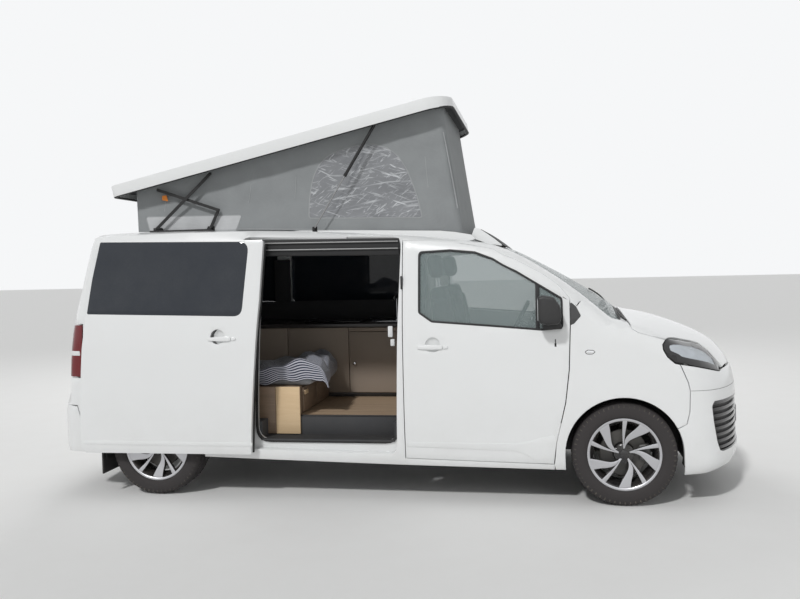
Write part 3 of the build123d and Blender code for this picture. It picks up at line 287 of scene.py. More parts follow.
def wall_rays(flat):
    """Rays for places given as distance round the van and height."""
    way, height = flat.T
    x, y, out_x, out_y = path_frame(way)
    edge = shoulder(x)
    lift = np.clip((height - edge) / SHOULDER_TURN, 0, None)
    inner = np.stack([x, y, np.minimum(height, edge)], 1)
    return inner, np.stack([np.cos(lift) * out_x, np.cos(lift) * out_y, np.sin(lift)], 1)


def top_rays(flat):
    """Rays for places given as X and distance across the top."""
    x, across = flat.T
    side = np.where(across < 0, -1.0, 1.0)
    past = np.abs(across) - TOP_HALF
    lean = np.clip(past / SHOULDER_TURN, 0, math.pi / 2)
    drop = np.clip(past - SHOULDER_TURN * math.pi / 2, 0, None)
    inner = np.stack([x, side * np.minimum(np.abs(across), TOP_HALF), shoulder(x) - drop], 1)
    return inner, np.stack([np.zeros(len(x)), side * np.sin(lean), np.cos(lean)], 1)


def rear_rays(flat):
    """Rays for places given as Y and height on the rear face."""
    across, height = flat.T
    inner = np.stack([np.full(len(across), float(REAR_VIEW_START)), across, height], 1)
    return inner, np.tile([-1.0, 0.0, 0.0], (len(across), 1))


VIEWS = {"wall": wall_rays, "top": top_rays, "rear": rear_rays}


def way_of(x, y):
    """Distance round the van of a point near the skin."""
    side = -1 if y < 0 else 1
    y = abs(y)
    if x > PATH_FRONT[0]:
        turned = math.atan2(y - PATH_FRONT[1], x - PATH_FRONT[0])
        return side * (y if turned < 0 else PATH_FRONT[1] + FRONT_TURN * turned)
    run = PATH_FRONT[1] + FRONT_ARC
    if x > PATH_REAR[0]:
        return side * (run + PATH_FRONT[0] - x)
    turned = math.atan2(PATH_REAR[0] - x, y - PATH_REAR[1])
    if turned < math.pi / 2:
        return side * (run + SIDE_RUN + REAR_TURN * turned)
    return side * (HALF_WAY - y)


def skin_point(origin, direction):
    """Where one ray from inside meets the skin."""
    return find_skin(np.array([origin], float), np.array([direction], float), 0)[0]


def side_point(x, z, side=-1):
    """The skin's point at this place in side view."""
    return skin_point((x, side * SIDE_START, z), (0, side, 0))


def roof_point(x, y):
    """The skin's point at this place seen from above."""
    return skin_point((x, y, float(shoulder(x)) - ROOF_DROP), (0, 0, 1))


def rear_point(y, z):
    """The skin's point at this place seen from behind."""
    return skin_point((REAR_START, y, z), (-1, 0, 0))


def front_point(y, z):
    """The skin's point at this place seen from the front."""
    return skin_point((FRONT_START, y, z), (1, 0, 0))


def to_wall(point):
    """A skin point's distance round the van and height along the inner frame's rays."""
    x, y, z = (float(value) for value in point)
    way = way_of(x, y)
    inner_x, inner_y, out_x, out_y = (float(value[0]) for value in path_frame(np.array([way])))
    edge = float(shoulder(inner_x))
    out = (x - inner_x) * out_x + (y - inner_y) * out_y
    return way, edge + SHOULDER_TURN * math.atan2(z - edge, out) if z > edge else z


def to_top(point):
    """A skin point's X and distance across the top along the inner frame's rays."""
    x, y, z = (float(value) for value in point)
    if abs(y) <= TOP_HALF:
        return x, y
    lean = math.atan2(abs(y) - TOP_HALF, z - float(shoulder(x)))
    return x, math.copysign(TOP_HALF + SHOULDER_TURN * lean, y)


def on_wall(points):
    """Wall places of points given in side view, on the right side."""
    return [to_wall(side_point(x, z)) for x, z in points]


def mirrored(points):
    """The same outline on the other side of the van."""
    return [(-way, height) for way, height in points]


def across_top(points):
    """The same outline of the top, on the other side."""
    return [(x, -across) for x, across in points]


def inset(points, amount):
    """A closed outline with each side moved in by amount."""
    following = points[1:] + points[:1]
    area = sum(a[0] * b[1] - b[0] * a[1] for a, b in zip(points, following))
    turn = amount if area > 0 else -amount
    moved = []
    for before, here, after in zip(points[-1:] + points[:-1], points, following):
        first = np.subtract(here, before) / math.dist(here, before)
        second = np.subtract(after, here) / math.dist(after, here)
        normals = (np.array([-first[1], first[0]]), np.array([-second[1], second[0]]))
        share = turn / max(1 + float(normals[0] @ normals[1]), 0.25)
        moved.append(tuple(np.add(here, share * (normals[0] + normals[1]))))
    return moved


def rounded(points, radius, steps=5):
    """A closed outline with its corners rounded."""
    made = []
    for before, here, after in zip(points[-1:] + points[:-1], points, points[1:] + points[:1]):
        back, ahead = np.subtract(before, here), np.subtract(after, here)
        lengths = np.hypot(*back), np.hypot(*ahead)
        bend = math.acos(np.clip(back @ ahead / lengths[0] / lengths[1], -1, 1))
        cut = min(radius / max(math.tan(bend / 2), 0.05), 0.48 * min(lengths))
        start, end = here + back / lengths[0] * cut, here + ahead / lengths[1] * cut
        for step in range(steps + 1):
            share = step / steps
            bent = (1 - share) ** 2 * start + 2 * share * (1 - share) * np.array(here) + share**2 * end
            made.append(tuple(bent))
    return made


def arc(centre, radius, start, end, steps=24):
    """Points of an arc between two angles in degrees."""
    angles = np.radians(np.linspace(start, end, steps + 1))
    return [(centre[0] + radius * math.cos(a), centre[1] + radius * math.sin(a)) for a in angles]


def only(obj):
    """Select one object and make it active."""
    bpy.ops.object.select_all(action="DESELECT")
    obj.select_set(True)
    bpy.context.view_layer.objects.active = obj
    return obj


def smooth_by_angle(degrees):
    """Smooth the active piece's shading, but not over sharper edges than this."""
    bpy.ops.object.shade_smooth_by_angle(angle=math.radians(degrees))


def apply_modifier(obj, kind, **values):
    """Add a modifier, set it and apply it."""
    only(obj)
    modifier = obj.modifiers.new(kind.title(), kind)
    for key, value in values.items():
        setattr(modifier, key, value)
    bpy.ops.object.modifier_apply(modifier=modifier.name)


def round_edges(obj, edge, segments=2, sharper=50):
    """Round a piece's edges that are sharper than this many degrees, by millimetres."""
    if edge:
        apply_modifier(obj, "BEVEL", width=edge * MM, segments=segments, limit_method="ANGLE",
                       angle_limit=math.radians(sharper))


def thicken(obj, thickness, outwards=-1, **values):
    """Give a sheet its thickness in millimetres, behind its face unless told otherwise."""
    apply_modifier(obj, "SOLIDIFY", thickness=thickness * MM, offset=outwards, **values)


def edit_mesh(obj, *steps):
    """Run operators on a piece's whole mesh in edit mode."""
    only(obj)
    bpy.ops.object.mode_set(mode="EDIT")
    for operator, values in steps:
        bpy.ops.mesh.select_all(action="SELECT")
        operator(**values)
    bpy.ops.object.mode_set(mode="OBJECT")


def reshape(obj, change):
    """Move a piece's vertices by a function of their places, in millimetres."""
    count = len(obj.data.vertices)
    places = np.empty(count * 3)
    obj.data.vertices.foreach_get("co", places)
    places = np.asarray(change(places.reshape(-1, 3) / MM), float)
    obj.data.vertices.foreach_set("co", (places * MM).ravel())
    obj.data.update()
    return obj


def linked(name, data):
    """A new object of this data in the scene."""
    obj = bpy.data.objects.new(name, data)
    bpy.context.collection.objects.link(obj)
    return obj


def polyline(name, points, dimensions="3D", kind="POLY", curve=None):
    """A curve with one spline through points in metres, or one more spline on a curve."""
    curve = curve or bpy.data.curves.new(name, "CURVE")
    curve.dimensions = dimensions
    spline = curve.splines.new(kind)
    spline.points.add(len(points) - 1)
    for point, place in zip(spline.points, points):
        point.co = (*place, 1)
    return curve, spline


def to_mesh(name, curve):
    """A piece made from a curve."""
    obj = only(linked(name, curve))
    bpy.ops.object.convert(target="MESH")
    return obj


def flat_sheet(name, loops, pitch):
    """A flat filled outline with holes, cut into cells, in metres."""
    curve = None
    for loop in loops:
        curve, spline = polyline(name, [(across * MM, up * MM, 0) for across, up in loop], "2D", curve=curve)
        spline.use_cyclic_u = True
    curve.fill_mode = "FRONT"
    obj = to_mesh(name, curve)
    if obj.data.polygons[0].normal.z < 0:
        obj.data.flip_normals()
    low = np.min(loops[0], axis=0)
    high = np.max(loops[0], axis=0)
    steps = [(bpy.ops.mesh.remove_doubles, {"threshold": JOIN_WITHIN}),
             (bpy.ops.mesh.dissolve_limited, {"angle_limit": 0.001, "use_dissolve_boundaries": False})]
    for axis, normal in ((0, (1, 0, 0)), (1, (0, 1, 0))):
        count = max(int((high[axis] - low[axis]) / pitch), 1)
        for place in np.linspace(low[axis], high[axis], count + 1)[1:-1]:
            point = [0.0, 0.0, 0.0]
            point[axis] = place * MM
            steps.append((bpy.ops.mesh.bisect, {"plane_co": point, "plane_no": normal, "use_fill": False}))
    edit_mesh(obj, *steps)
    return obj


def skin_panel(name, view, loops, thickness, level=0, shift=0, pitch=42, edge=2.2):
    """A curved panel of the body's skin with this outline, as thick as asked."""
    obj = flat_sheet(name, loops, pitch)

    def on_skin(places):
        flat = places[:, :2]
        points = find_skin(*VIEWS[view](flat), level(flat) if callable(level) else level)
        points[:, 1] += shift
        return points

    reshape(obj, on_skin)
    if view == "rear":
        edit_mesh(obj, (bpy.ops.mesh.flip_normals, {}))
    thicken(obj, thickness, use_even_offset=True)
    round_edges(obj, edge)
    smooth_by_angle(35)
    return obj


def lathe(name, profile, steps):
    """A closed shape turned about Y from radii and places along it, in millimetres."""
    obj = to_mesh(name, polyline(name, [(radius * MM, along * MM, 0) for radius, along in profile])[0])
    apply_modifier(obj, "SCREW", axis="Y", steps=steps, render_steps=steps, use_merge_vertices=True,
                   merge_threshold=0.00005)
    edit_mesh(obj, (bpy.ops.mesh.remove_doubles, {"threshold": 0.00004}),
              (bpy.ops.mesh.normals_make_consistent, {"inside": False}))
    smooth_by_angle(40)
    return obj


def block(name, low, high, edge=3, segments=2):
    """A board or box between two corners in millimetres, with rounded edges."""
    low, high = Vector(low) * MM, Vector(high) * MM
    bpy.ops.object.select_all(action="DESELECT")
    bpy.ops.mesh.primitive_cube_add(size=1, location=(low + high) / 2, scale=high - low)
    obj = bpy.context.object
    obj.name = name
    bpy.ops.object.transform_apply(location=True, rotation=False, scale=True)
    apply_modifier(obj, "BEVEL", width=edge * MM, segments=segments, limit_method="NONE")
    smooth_by_angle(35)
    return obj


def upright(name, loops, y, thickness, edge=2.0, pitch=400):
    """A flat plate given in side view, X and Z, whose right-hand face is at y."""
    obj = flat_sheet(name, loops, pitch)
    obj.data.transform(Matrix.Translation((0, y * MM, 0)) @ Matrix.Rotation(math.pi / 2, 4, "X"))
    thicken(obj, thickness)
    round_edges(obj, edge, 3)
    smooth_by_angle(35)
    return obj


def tube(name, points, radius, smooth=True):
    """A round bar along points in millimetres, with closed ends."""
    places = [Vector(place) * MM for place in points]
    curve, spline = polyline(name, places, kind="NURBS" if smooth else "POLY")
    if smooth:
        spline.order_u = 3
        spline.use_endpoint_u = True
    curve.bevel_depth = radius * MM
    curve.bevel_resolution = 3
    curve.use_fill_caps = True
    obj = to_mesh(name, curve)
    smooth_by_angle(50)
    return obj


def join(name, parts):
    """One piece from several."""
    bpy.ops.object.select_all(action="DESELECT")
    for part in parts:
        part.select_set(True)
    bpy.context.view_layer.objects.active = parts[0]
    bpy.ops.object.join()
    parts[0].name = name
    return parts[0]


def copy_of(obj, name, matrix):
    """A copy of a piece with its own mesh, moved by a matrix."""
    twin = linked(name, obj.data.copy())
    twin.data.transform(matrix)
    if matrix.determinant() < 0:
        twin.data.flip_normals()
    return twin


def turned_copies(obj, count, name):
    """A piece repeated round the Y axis and joined."""
    parts = [copy_of(obj, name, Matrix.Rotation(math.tau * step / count, 4, "Y")) for step in range(1, count)]
    return join(name, [obj] + parts)


def root_blocks(*rows):
    """Boards and boxes of the body: name, two corners, edge, finish, slot and nodes that they stand for."""
    for name, low, high, edge, finish, slot, *nodes in rows:
        dress(block(name, low, high, edge), finish, "root", slot, *nodes)


MIRROR_Y = Matrix.Diagonal((1, -1, 1, 1))

def pair(obj, name, finish, slot, bodies=("root", "root"), nodes=("", "")):
    """Dress a right-hand piece, and its mirror image on the left."""
    twin = copy_of(obj, f"{name}_left", MIRROR_Y)
    obj.name = f"{name}_right"
    for piece, body, node in zip((obj, twin), bodies, nodes):
        dress(piece, finish, body, slot, *filter(None, [node]))
    return obj, twin


def aim(obj, place, direction):
    """Turn a piece's Y towards a direction, move it and keep that in its mesh."""
    turn = direction.to_track_quat("Y", "Z").to_matrix().to_4x4()
    obj.data.transform(Matrix.Translation(place) @ turn)
    return obj


def dress(obj, finish, body, slot, *nodes):
    """Give a piece its finish and body, and hide the nodes that it stands for. The slot is not used."""
    obj.data.materials.clear()
    obj.data.materials.append(bpy.data.materials[finish])
    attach(obj, body)
    if nodes:
        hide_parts(*nodes)
    return obj


# Node groups and materials
ROAD_DUST = (0.36, 0.32, 0.27)


def new_group(name, inputs, outputs):
    """A shader node group with these named sockets, and its input and output nodes."""
    group = bpy.data.node_groups.new(name, "ShaderNodeTree")
    for label, kind, value in inputs:
        socket = group.interface.new_socket(name=label, in_out="INPUT", socket_type=kind)
        if value is not None:
            socket.default_value = value
    for label, kind in outputs:
        group.interface.new_socket(name=label, in_out="OUTPUT", socket_type=kind)
    return group, group.nodes.new("NodeGroupInput").outputs, group.nodes.new("NodeGroupOutput").inputs


def put(tree, kind, settings=None, **sockets):
    """Add a node whose sockets are values or links from other nodes."""
    node = tree.nodes.new(kind)
    for key, value in (settings or {}).items():
        setattr(node, key, value)
    for key, value in sockets.items():
        socket = node.inputs[int(key[1:])] if key[1:].isdigit() else node.inputs[key.replace("_", " ")]
        if isinstance(value, bpy.types.NodeSocket):
            tree.links.new(value, socket)
        else:
            socket.default_value = value
    return node


def noise(tree, place, scale, detail, **sockets):
    """The value of a cloud texture."""
    node = put(tree, "ShaderNodeTexNoise", None, Vector=place, Scale=scale, Detail=detail, **sockets)
    return node.outputs[0]


def stretched(tree, place, factors):
    """Texture places drawn out along the axes."""
    return put(tree, "ShaderNodeVectorMath", {"operation": "MULTIPLY"}, s0=place, s1=factors).outputs[0]


def mix_colours(tree, share, first, second):
    """A colour between two others."""
    node = put(tree, "ShaderNodeMix", {"data_type": "RGBA"}, s0=share)
    for place, value in ((6, first), (7, second)):
        if isinstance(value, bpy.types.NodeSocket):
            tree.links.new(value, node.inputs[place])
        else:
            node.inputs[place].default_value = value
    return node.outputs[2]


def arithmetic(tree, operation, first, second=0.5, third=0.5, clamp=False):
    """One step of arithmetic."""
    settings = {"operation": operation, "use_clamp": clamp}
    return put(tree, "ShaderNodeMath", settings, s0=first, s1=second, s2=third).outputs[0]


def build_dust_group():
    """Road dust and slight unevenness that grows towards the ground."""
    group, given, out = new_group("Dust film", [
        ("Vector", "NodeSocketVector", None), ("Clean Colour", "NodeSocketColor", (0.8, 0.8, 0.8, 1)),
        ("Dust Colour", "NodeSocketColor", (0.3, 0.27, 0.23, 1)), ("Amount", "NodeSocketFloat", 0.2),
        ("Reach", "NodeSocketFloat", 0.9), ("Gloss", "NodeSocketFloat", 0.3),
    ], [("Colour", "NodeSocketColor"), ("Roughness", "NodeSocketFloat"), ("Mask", "NodeSocketFloat")])
    clouds = noise(group, given["Vector"], 4.0, 7.0, Roughness=0.62)
    specks = noise(group, given["Vector"], 90.0, 3.0)
    height = put(group, "ShaderNodeSeparateXYZ", None, Vector=given["Vector"]).outputs["Z"]
    low = arithmetic(group, "DIVIDE", height, given["Reach"], clamp=True)
    low = arithmetic(group, "SUBTRACT", 1.0, low, clamp=True)
    spread = put(group, "ShaderNodeMapRange", None, Value=clouds, s1=0.35, s2=0.72)
    grain = put(group, "ShaderNodeMapRange", None, Value=specks, s1=0.4, s2=0.7, s3=0.6, s4=1.0)
    mask = arithmetic(group, "MULTIPLY_ADD", low, 0.85, 0.15)
    mask = arithmetic(group, "MULTIPLY", mask, spread.outputs[0])
    mask = arithmetic(group, "MULTIPLY", mask, grain.outputs[0])
    mask = arithmetic(group, "MULTIPLY", mask, given["Amount"], clamp=True)
    colour = mix_colours(group, mask, given["Clean Colour"], given["Dust Colour"])
    group.links.new(colour, out["Colour"])
    roughness = arithmetic(group, "MULTIPLY_ADD", mask, 0.5, given["Gloss"], clamp=True)
    group.links.new(roughness, out["Roughness"])
    group.links.new(mask, out["Mask"])


def build_relief_group():
    """Fine bumps of moulded plastic, rubber, casting or fabric."""
    group, given, out = new_group("Fine relief", [
        ("Vector", "NodeSocketVector", None), ("Scale", "NodeSocketFloat", 400.0),
        ("Depth", "NodeSocketFloat", 1.0),
    ], [("Height", "NodeSocketFloat")])
    cells = put(group, "ShaderNodeTexVoronoi", None, Vector=given["Vector"], Scale=given["Scale"])
    grain = noise(group, given["Vector"], given["Scale"], 3.0)
    total = arithmetic(group, "ADD", cells.outputs["Distance"], grain)
    group.links.new(arithmetic(group, "MULTIPLY", total, given["Depth"]), out["Height"])


def build_weave_group():
    """Threads that cross at right angles, over and under."""
    group, given, out = new_group("Weave", [
        ("Vector", "NodeSocketVector", None), ("Scale", "NodeSocketFloat", 300.0),
        ("Light", "NodeSocketColor", (0.5, 0.5, 0.5, 1)), ("Dark", "NodeSocketColor", (0.2, 0.2, 0.2, 1)),
    ], [("Colour", "NodeSocketColor"), ("Height", "NodeSocketFloat")])
    total = None
    for axis in ("X", "Y", "Z"):
        wave = put(group, "ShaderNodeTexWave", {"bands_direction": axis}, Vector=given["Vector"],
                   Scale=given["Scale"], Distortion=0.6, Detail=1.0)
        total = wave.outputs[1] if total is None else arithmetic(group, "ADD", total, wave.outputs[1])
    threads = arithmetic(group, "DIVIDE", total, 3.0)
    clouds = noise(group, given["Vector"], 7.0, 5.0)
    share = arithmetic(group, "MULTIPLY_ADD", threads, 0.16, 0.12)
    share = arithmetic(group, "MULTIPLY_ADD", clouds, 0.8, share, clamp=True)
    group.links.new(mix_colours(group, share, given["Dark"], given["Light"]), out["Colour"])
    group.links.new(threads, out["Height"])


def build_wood_group():
    """Long grain with darker streaks, along X."""
    group, given, out = new_group("Wood grain", [
        ("Vector", "NodeSocketVector", None), ("Stretch", "NodeSocketVector", (1.5, 26.0, 26.0)),
        ("Light", "NodeSocketColor", (0.5, 0.4, 0.3, 1)), ("Dark", "NodeSocketColor", (0.3, 0.2, 0.1, 1)),
    ], [("Colour", "NodeSocketColor"), ("Height", "NodeSocketFloat")])
    drawn = stretched(group, given["Vector"], given["Stretch"])
    broad = noise(group, drawn, 1.0, 6.0, Distortion=1.2)
    pores = noise(group, drawn, 9.0, 3.0)
    share = arithmetic(group, "MULTIPLY_ADD", pores, 0.45, -0.2)
    share = arithmetic(group, "MULTIPLY_ADD", broad, 1.1, share, clamp=True)
    group.links.new(mix_colours(group, share, given["Dark"], given["Light"]), out["Colour"])
    group.links.new(share, out["Height"])


def start_material(name, roughness=0.5, metallic=0.0, coat=0.0):
    """A new material with its tree, shader and place on the piece."""
    material = bpy.data.materials.new(name)
    material.use_nodes = True
    tree = material.node_tree
    shader = tree.nodes["Principled BSDF"]
    shader.inputs["Roughness"].default_value = roughness
    shader.inputs["Metallic"].default_value = metallic
    shader.inputs["Coat Weight"].default_value = coat
    shader.inputs["Coat Roughness"].default_value = 0.05
    return material, tree, shader, tree.nodes.new("ShaderNodeTexCoord").outputs["Object"]


def use_group(tree, name, place, **sockets):
    """Place a shared node group in a material."""
    return put(tree, "ShaderNodeGroup", {"node_tree": bpy.data.node_groups[name]}, Vector=place, **sockets)


def bump(tree, shader, height, strength, distance=0.001):
    """Feed a height into the shader's normal."""
    node = put(tree, "ShaderNodeBump", None, Height=height, Strength=strength, Distance=distance)
    tree.links.new(node.outputs[0], shader.inputs["Normal"])


def worn(name, colour, roughness, dust=0.15, reach=0.9, relief=0.0, scale=400.0, metallic=0.0, coat=0.0):
    """A hard finish with road dust, and fine relief where asked."""
    material, tree, shader, place = start_material(name, roughness, metallic, coat)
    film = use_group(tree, "Dust film", place, Clean_Colour=(*colour, 1), Dust_Colour=(*ROAD_DUST, 1),
                     Amount=dust, Reach=reach, Gloss=roughness)
    tree.links.new(film.outputs["Colour"], shader.inputs["Base Color"])
    tree.links.new(film.outputs["Roughness"], shader.inputs["Roughness"])
    if relief:
        fine = use_group(tree, "Fine relief", place, Scale=scale)
        bump(tree, shader, fine.outputs[0], relief)
    return material


def woven(name, light, dark, scale, strength=0.35, roughness=0.85, sheen=0.2):
    """A plain woven fabric."""
    material, tree, shader, place = start_material(name, roughness)
    shader.inputs["Sheen Weight"].default_value = sheen
    cloth = use_group(tree, "Weave", place, Scale=scale, Light=(*light, 1), Dark=(*dark, 1))
    tree.links.new(cloth.outputs["Colour"], shader.inputs["Base Color"])
    bump(tree, shader, cloth.outputs["Height"], strength, 0.0008)
    return material


STRIPE_SCALE = 19.0


def striped(name, light, dark):
    """A woven cover with stripes along the cloth's own length."""
    material, tree, shader, _ = start_material(name, 0.85)
    shader.inputs["Sheen Weight"].default_value = 0.2
    flat = put(tree, "ShaderNodeUVMap").outputs[0]
    stripes = put(tree, "ShaderNodeTexWave", {"bands_direction": "Y"}, Vector=flat, Scale=STRIPE_SCALE,
                  Distortion=0.15)
    mask = put(tree, "ShaderNodeMapRange", None, Value=stripes.outputs[1], s1=0.52, s2=0.62).outputs[0]
    cloth = use_group(tree, "Weave", flat, Scale=420.0, Light=(1, 1, 1, 1), Dark=(0.72, 0.72, 0.72, 1))
    colour = mix_colours(tree, mask, (*dark, 1), (*light, 1))
    shade = put(tree, "ShaderNodeMix", {"data_type": "RGBA", "blend_type": "MULTIPLY"}, s0=1.0)
    tree.links.new(colour, shade.inputs[6])
    tree.links.new(cloth.outputs["Colour"], shade.inputs[7])
    tree.links.new(shade.outputs[2], shader.inputs["Base Color"])
    bump(tree, shader, cloth.outputs["Height"], 0.3, 0.0008)
    return material


def wooden(name, light, dark, stretch=(1.5, 26.0, 26.0), roughness=0.45, coat=0.0):
    """A board with drawn-out grain."""
    material, tree, shader, place = start_material(name, roughness, coat=coat)
    grain = use_group(tree, "Wood grain", place, Stretch=stretch, Light=(*light, 1), Dark=(*dark, 1))
    tree.links.new(grain.outputs["Colour"], shader.inputs["Base Color"])
    bump(tree, shader, grain.outputs["Height"], 0.15, 0.0005)
    return material


# Turn of each set of creases in the film, and how far they are drawn out; the creases make real bumps, and
# their crests also set where the film's highlights are painted
CREASES = ((0.12, (2.2, 1.0, 24.0)), (-0.35, (3.4, 1.0, 30.0)), (0.7, (5.0, 1.0, 26.0)))


def crinkled_with_painted_highlights(name, light, dark):
    """Clear film with long creases, real bumps whose crests are also painted pale as painted highlights."""
    material, tree, shader, place = start_material(name, 0.12, coat=0.6)
    height = None
    for number, (turn, stretch) in enumerate(CREASES):
        turned = put(tree, "ShaderNodeVectorRotate", {"rotation_type": "Y_AXIS"}, Vector=place, Angle=turn)
        drawn = stretched(tree, turned.outputs[0], stretch)
        crease = noise(tree, drawn, 1.0 + 0.3 * number, 5.0, Roughness=0.62, Distortion=1.6)
        height = crease if height is None else arithmetic(tree, "MAXIMUM", height, crease)
    # Painted highlights: the crests of the creases are painted in the pale colour, standing in for light
    # glinting on the film
    bright = put(tree, "ShaderNodeMapRange", None, Value=height, s1=0.54, s2=0.72).outputs[0]
    grain = noise(tree, place, 5.0, 3.0)
    share = arithmetic(tree, "MULTIPLY_ADD", grain, 0.3, 0.02, clamp=True)
    share = arithmetic(tree, "MAXIMUM", share, bright, clamp=True)
    tree.links.new(mix_colours(tree, share, (*dark, 1), (*light, 1)), shader.inputs["Base Color"])
    bump(tree, shader, height, 0.6, 0.004)
    return material


def glazed(name, colour, transmission, roughness=0.03, bend=1.45):
    """Glass with a faint film of dust."""
    material, tree, shader, place = start_material(name, roughness)
    shader.inputs["Transmission Weight"].default_value = transmission
    shader.inputs["IOR"].default_value = bend
    film = use_group(tree, "Dust film", place, Clean_Colour=(*colour, 1), Dust_Colour=(0.45, 0.44, 0.42, 1),
                     Amount=0.08, Reach=2.2, Gloss=roughness)
    tree.links.new(film.outputs["Colour"], shader.inputs["Base Color"])
    tree.links.new(film.outputs["Roughness"], shader.inputs["Roughness"])
    return material


def build_materials():
    """All finishes of the van, by name."""
    build_dust_group()
    build_relief_group()
    build_weave_group()
    build_wood_group()
    colours = bpy.context.scene.van_colours
    worn("paint", tuple(colours.paint), 0.28, dust=0.16, reach=0.8, coat=0.7)
    worn("lid_paint", tuple(colours.paint), 0.35, dust=0.1, reach=3.0, coat=0.3)
    worn("plastic", (0.018, 0.018, 0.019), 0.5, dust=0.25, relief=0.25, scale=700)
    worn("gloss_black", (0.008, 0.008, 0.009), 0.12, dust=0.12, coat=0.5)
    worn("seal", (0.01, 0.01, 0.011), 0.62, dust=0.1, relief=0.1)
    worn("alloy", (0.72, 0.73, 0.75), 0.25, dust=0.22, reach=1.0, metallic=0.9, relief=0.05, scale=900)
    worn("alloy_black", (0.012, 0.012, 0.014), 0.2, dust=0.25, reach=1.0, coat=0.4)
    worn("quarter_film", (0.035, 0.036, 0.038), 0.15, dust=0.2, reach=2.5, coat=0.4)
    worn("brake_steel", (0.09, 0.088, 0.085), 0.42, dust=0.3, metallic=0.7, relief=0.1, scale=150)
    worn("calliper_grey", (0.16, 0.16, 0.16), 0.5, dust=0.3, metallic=0.4, relief=0.3, scale=200)
    worn("dusty_rubber", (0.042, 0.039, 0.036), 0.85, dust=0.45, reach=1.4, relief=0.3, scale=500)
    worn("tyre", (0.022, 0.021, 0.021), 0.72, dust=0.5, reach=1.2, relief=0.3, scale=500)
    worn("steel", (0.25, 0.25, 0.26), 0.45, dust=0.4, metallic=0.8, relief=0.3, scale=250)
    worn("cast_iron", (0.12, 0.115, 0.11), 0.6, dust=0.5, metallic=0.6, relief=0.6, scale=200)
    worn("bright_steel", (0.75, 0.76, 0.78), 0.18, dust=0.05, metallic=1.0)
    worn("reflector", (0.9, 0.91, 0.92), 0.08, dust=0.03, metallic=1.0)
    worn("black_steel", (0.014, 0.014, 0.015), 0.32, dust=0.06, reach=3.0, relief=0.1, scale=600, coat=0.2)
    worn("grey_liner", (0.042, 0.043, 0.046), 0.75, dust=0.1, relief=0.3, scale=300)
    worn("orange_tag", (0.8, 0.25, 0.03), 0.5, dust=0.05)
    worn("plate", (0.75, 0.76, 0.76), 0.35, dust=0.1)
    worn("red_lens", (0.15, 0.004, 0.008), 0.15, dust=0.05, coat=0.25)
    # The film's pale colour is its painted highlight along the creases; the dark one is the film's base
    # colour
    crinkled_with_painted_highlights("film", (0.66, 0.68, 0.70), (0.11, 0.115, 0.125))
    worn("mirror_glass", (0.8, 0.82, 0.84), 0.04, dust=0.05, metallic=1.0)
    glazed("privacy_glass", (0.022, 0.027, 0.036), 0.0)
    glazed("clear_glass", (0.1, 0.12, 0.115), 1.0, 0.03, 1.35)
    glazed("lamp_glass", (0.66, 0.69, 0.72), 1.0, 0.02, 1.12)
    woven("tent_cloth", (0.30, 0.315, 0.32), (0.2, 0.21, 0.215), 420, 0.05, sheen=0.1)
    woven("tent_hem", (0.36, 0.372, 0.378), (0.27, 0.28, 0.285), 420, 0.05, sheen=0.1)
    worn("worn_steel", (0.3, 0.3, 0.3), 0.4, dust=0.1, reach=3.0, metallic=0.6)
    striped("striped_cloth", (0.62, 0.63, 0.68), (0.022, 0.027, 0.06))
    woven("vent_mesh", (0.62, 0.63, 0.64), (0.35, 0.36, 0.37), 200, 0.5)
    woven("seat_cloth", (0.05, 0.052, 0.056), (0.018, 0.018, 0.02), 380, 0.4)
    woven("mattress_cloth", (0.4, 0.41, 0.43), (0.25, 0.26, 0.28), 300)
    wooden("oak", (0.56, 0.42, 0.29), (0.34, 0.235, 0.15))
    wooden("birch", (0.74, 0.56, 0.35), (0.6, 0.42, 0.24), (2.0, 18.0, 18.0))
    wooden("brown_board", (0.28, 0.2, 0.14), (0.16, 0.11, 0.075))
    wooden("taupe_board", (0.46, 0.39, 0.33), (0.38, 0.32, 0.27), (6.0, 6.0, 1.0), 0.5)
    wooden("dark_board", (0.05, 0.045, 0.042), (0.028, 0.025, 0.024), roughness=0.35)


class VanSizes(bpy.types.PropertyGroup):
    """Sizes of the van's visible detail."""

    shut_gap: bpy.props.FloatProperty(
        name="Shut gap", description="Half the width of the lines between body panels",
        default=0.0032, min=0.001, max=0.01, subtype="DISTANCE", unit="LENGTH")
    panel_depth: bpy.props.FloatProperty(
        name="Panel depth", description="Thickness of doors and body sides",
        default=0.044, min=0.01, max=0.06, subtype="DISTANCE", unit="LENGTH")
    camera_lens: bpy.props.FloatProperty(
        name="Camera lens", description="Focal length of the view from the side",
        default=37.69, min=15, max=120, unit="CAMERA")


class VanColours(bpy.types.PropertyGroup):
    """Colours of the van's finishes."""

    paint: bpy.props.FloatVectorProperty(
        name="Paint", description="Body colour", default=(0.80, 0.81, 0.81), min=0, max=1, subtype="COLOR")
    floor: bpy.props.FloatVectorProperty(
        name="Floor", description="Colour of the studio floor", default=(0.84, 0.84, 0.83), min=0, max=1,
        subtype="COLOR")


def gap():
    """Half the width of a shut line, in millimetres."""
    return bpy.context.scene.van_sizes.shut_gap / MM


def depth():
    """Thickness of a door or body side, in millimetres."""
    return bpy.context.scene.van_sizes.panel_depth / MM


def wall_panel(name, side, loops, thickness, **values):
    """A panel of one side, given by right-hand wall outlines."""
    if side > 0:
        loops = [mirrored(loop) for loop in loops]
    return skin_panel(f"{name}_{'left' if side > 0 else 'right'}", "wall", loops, thickness, **values)


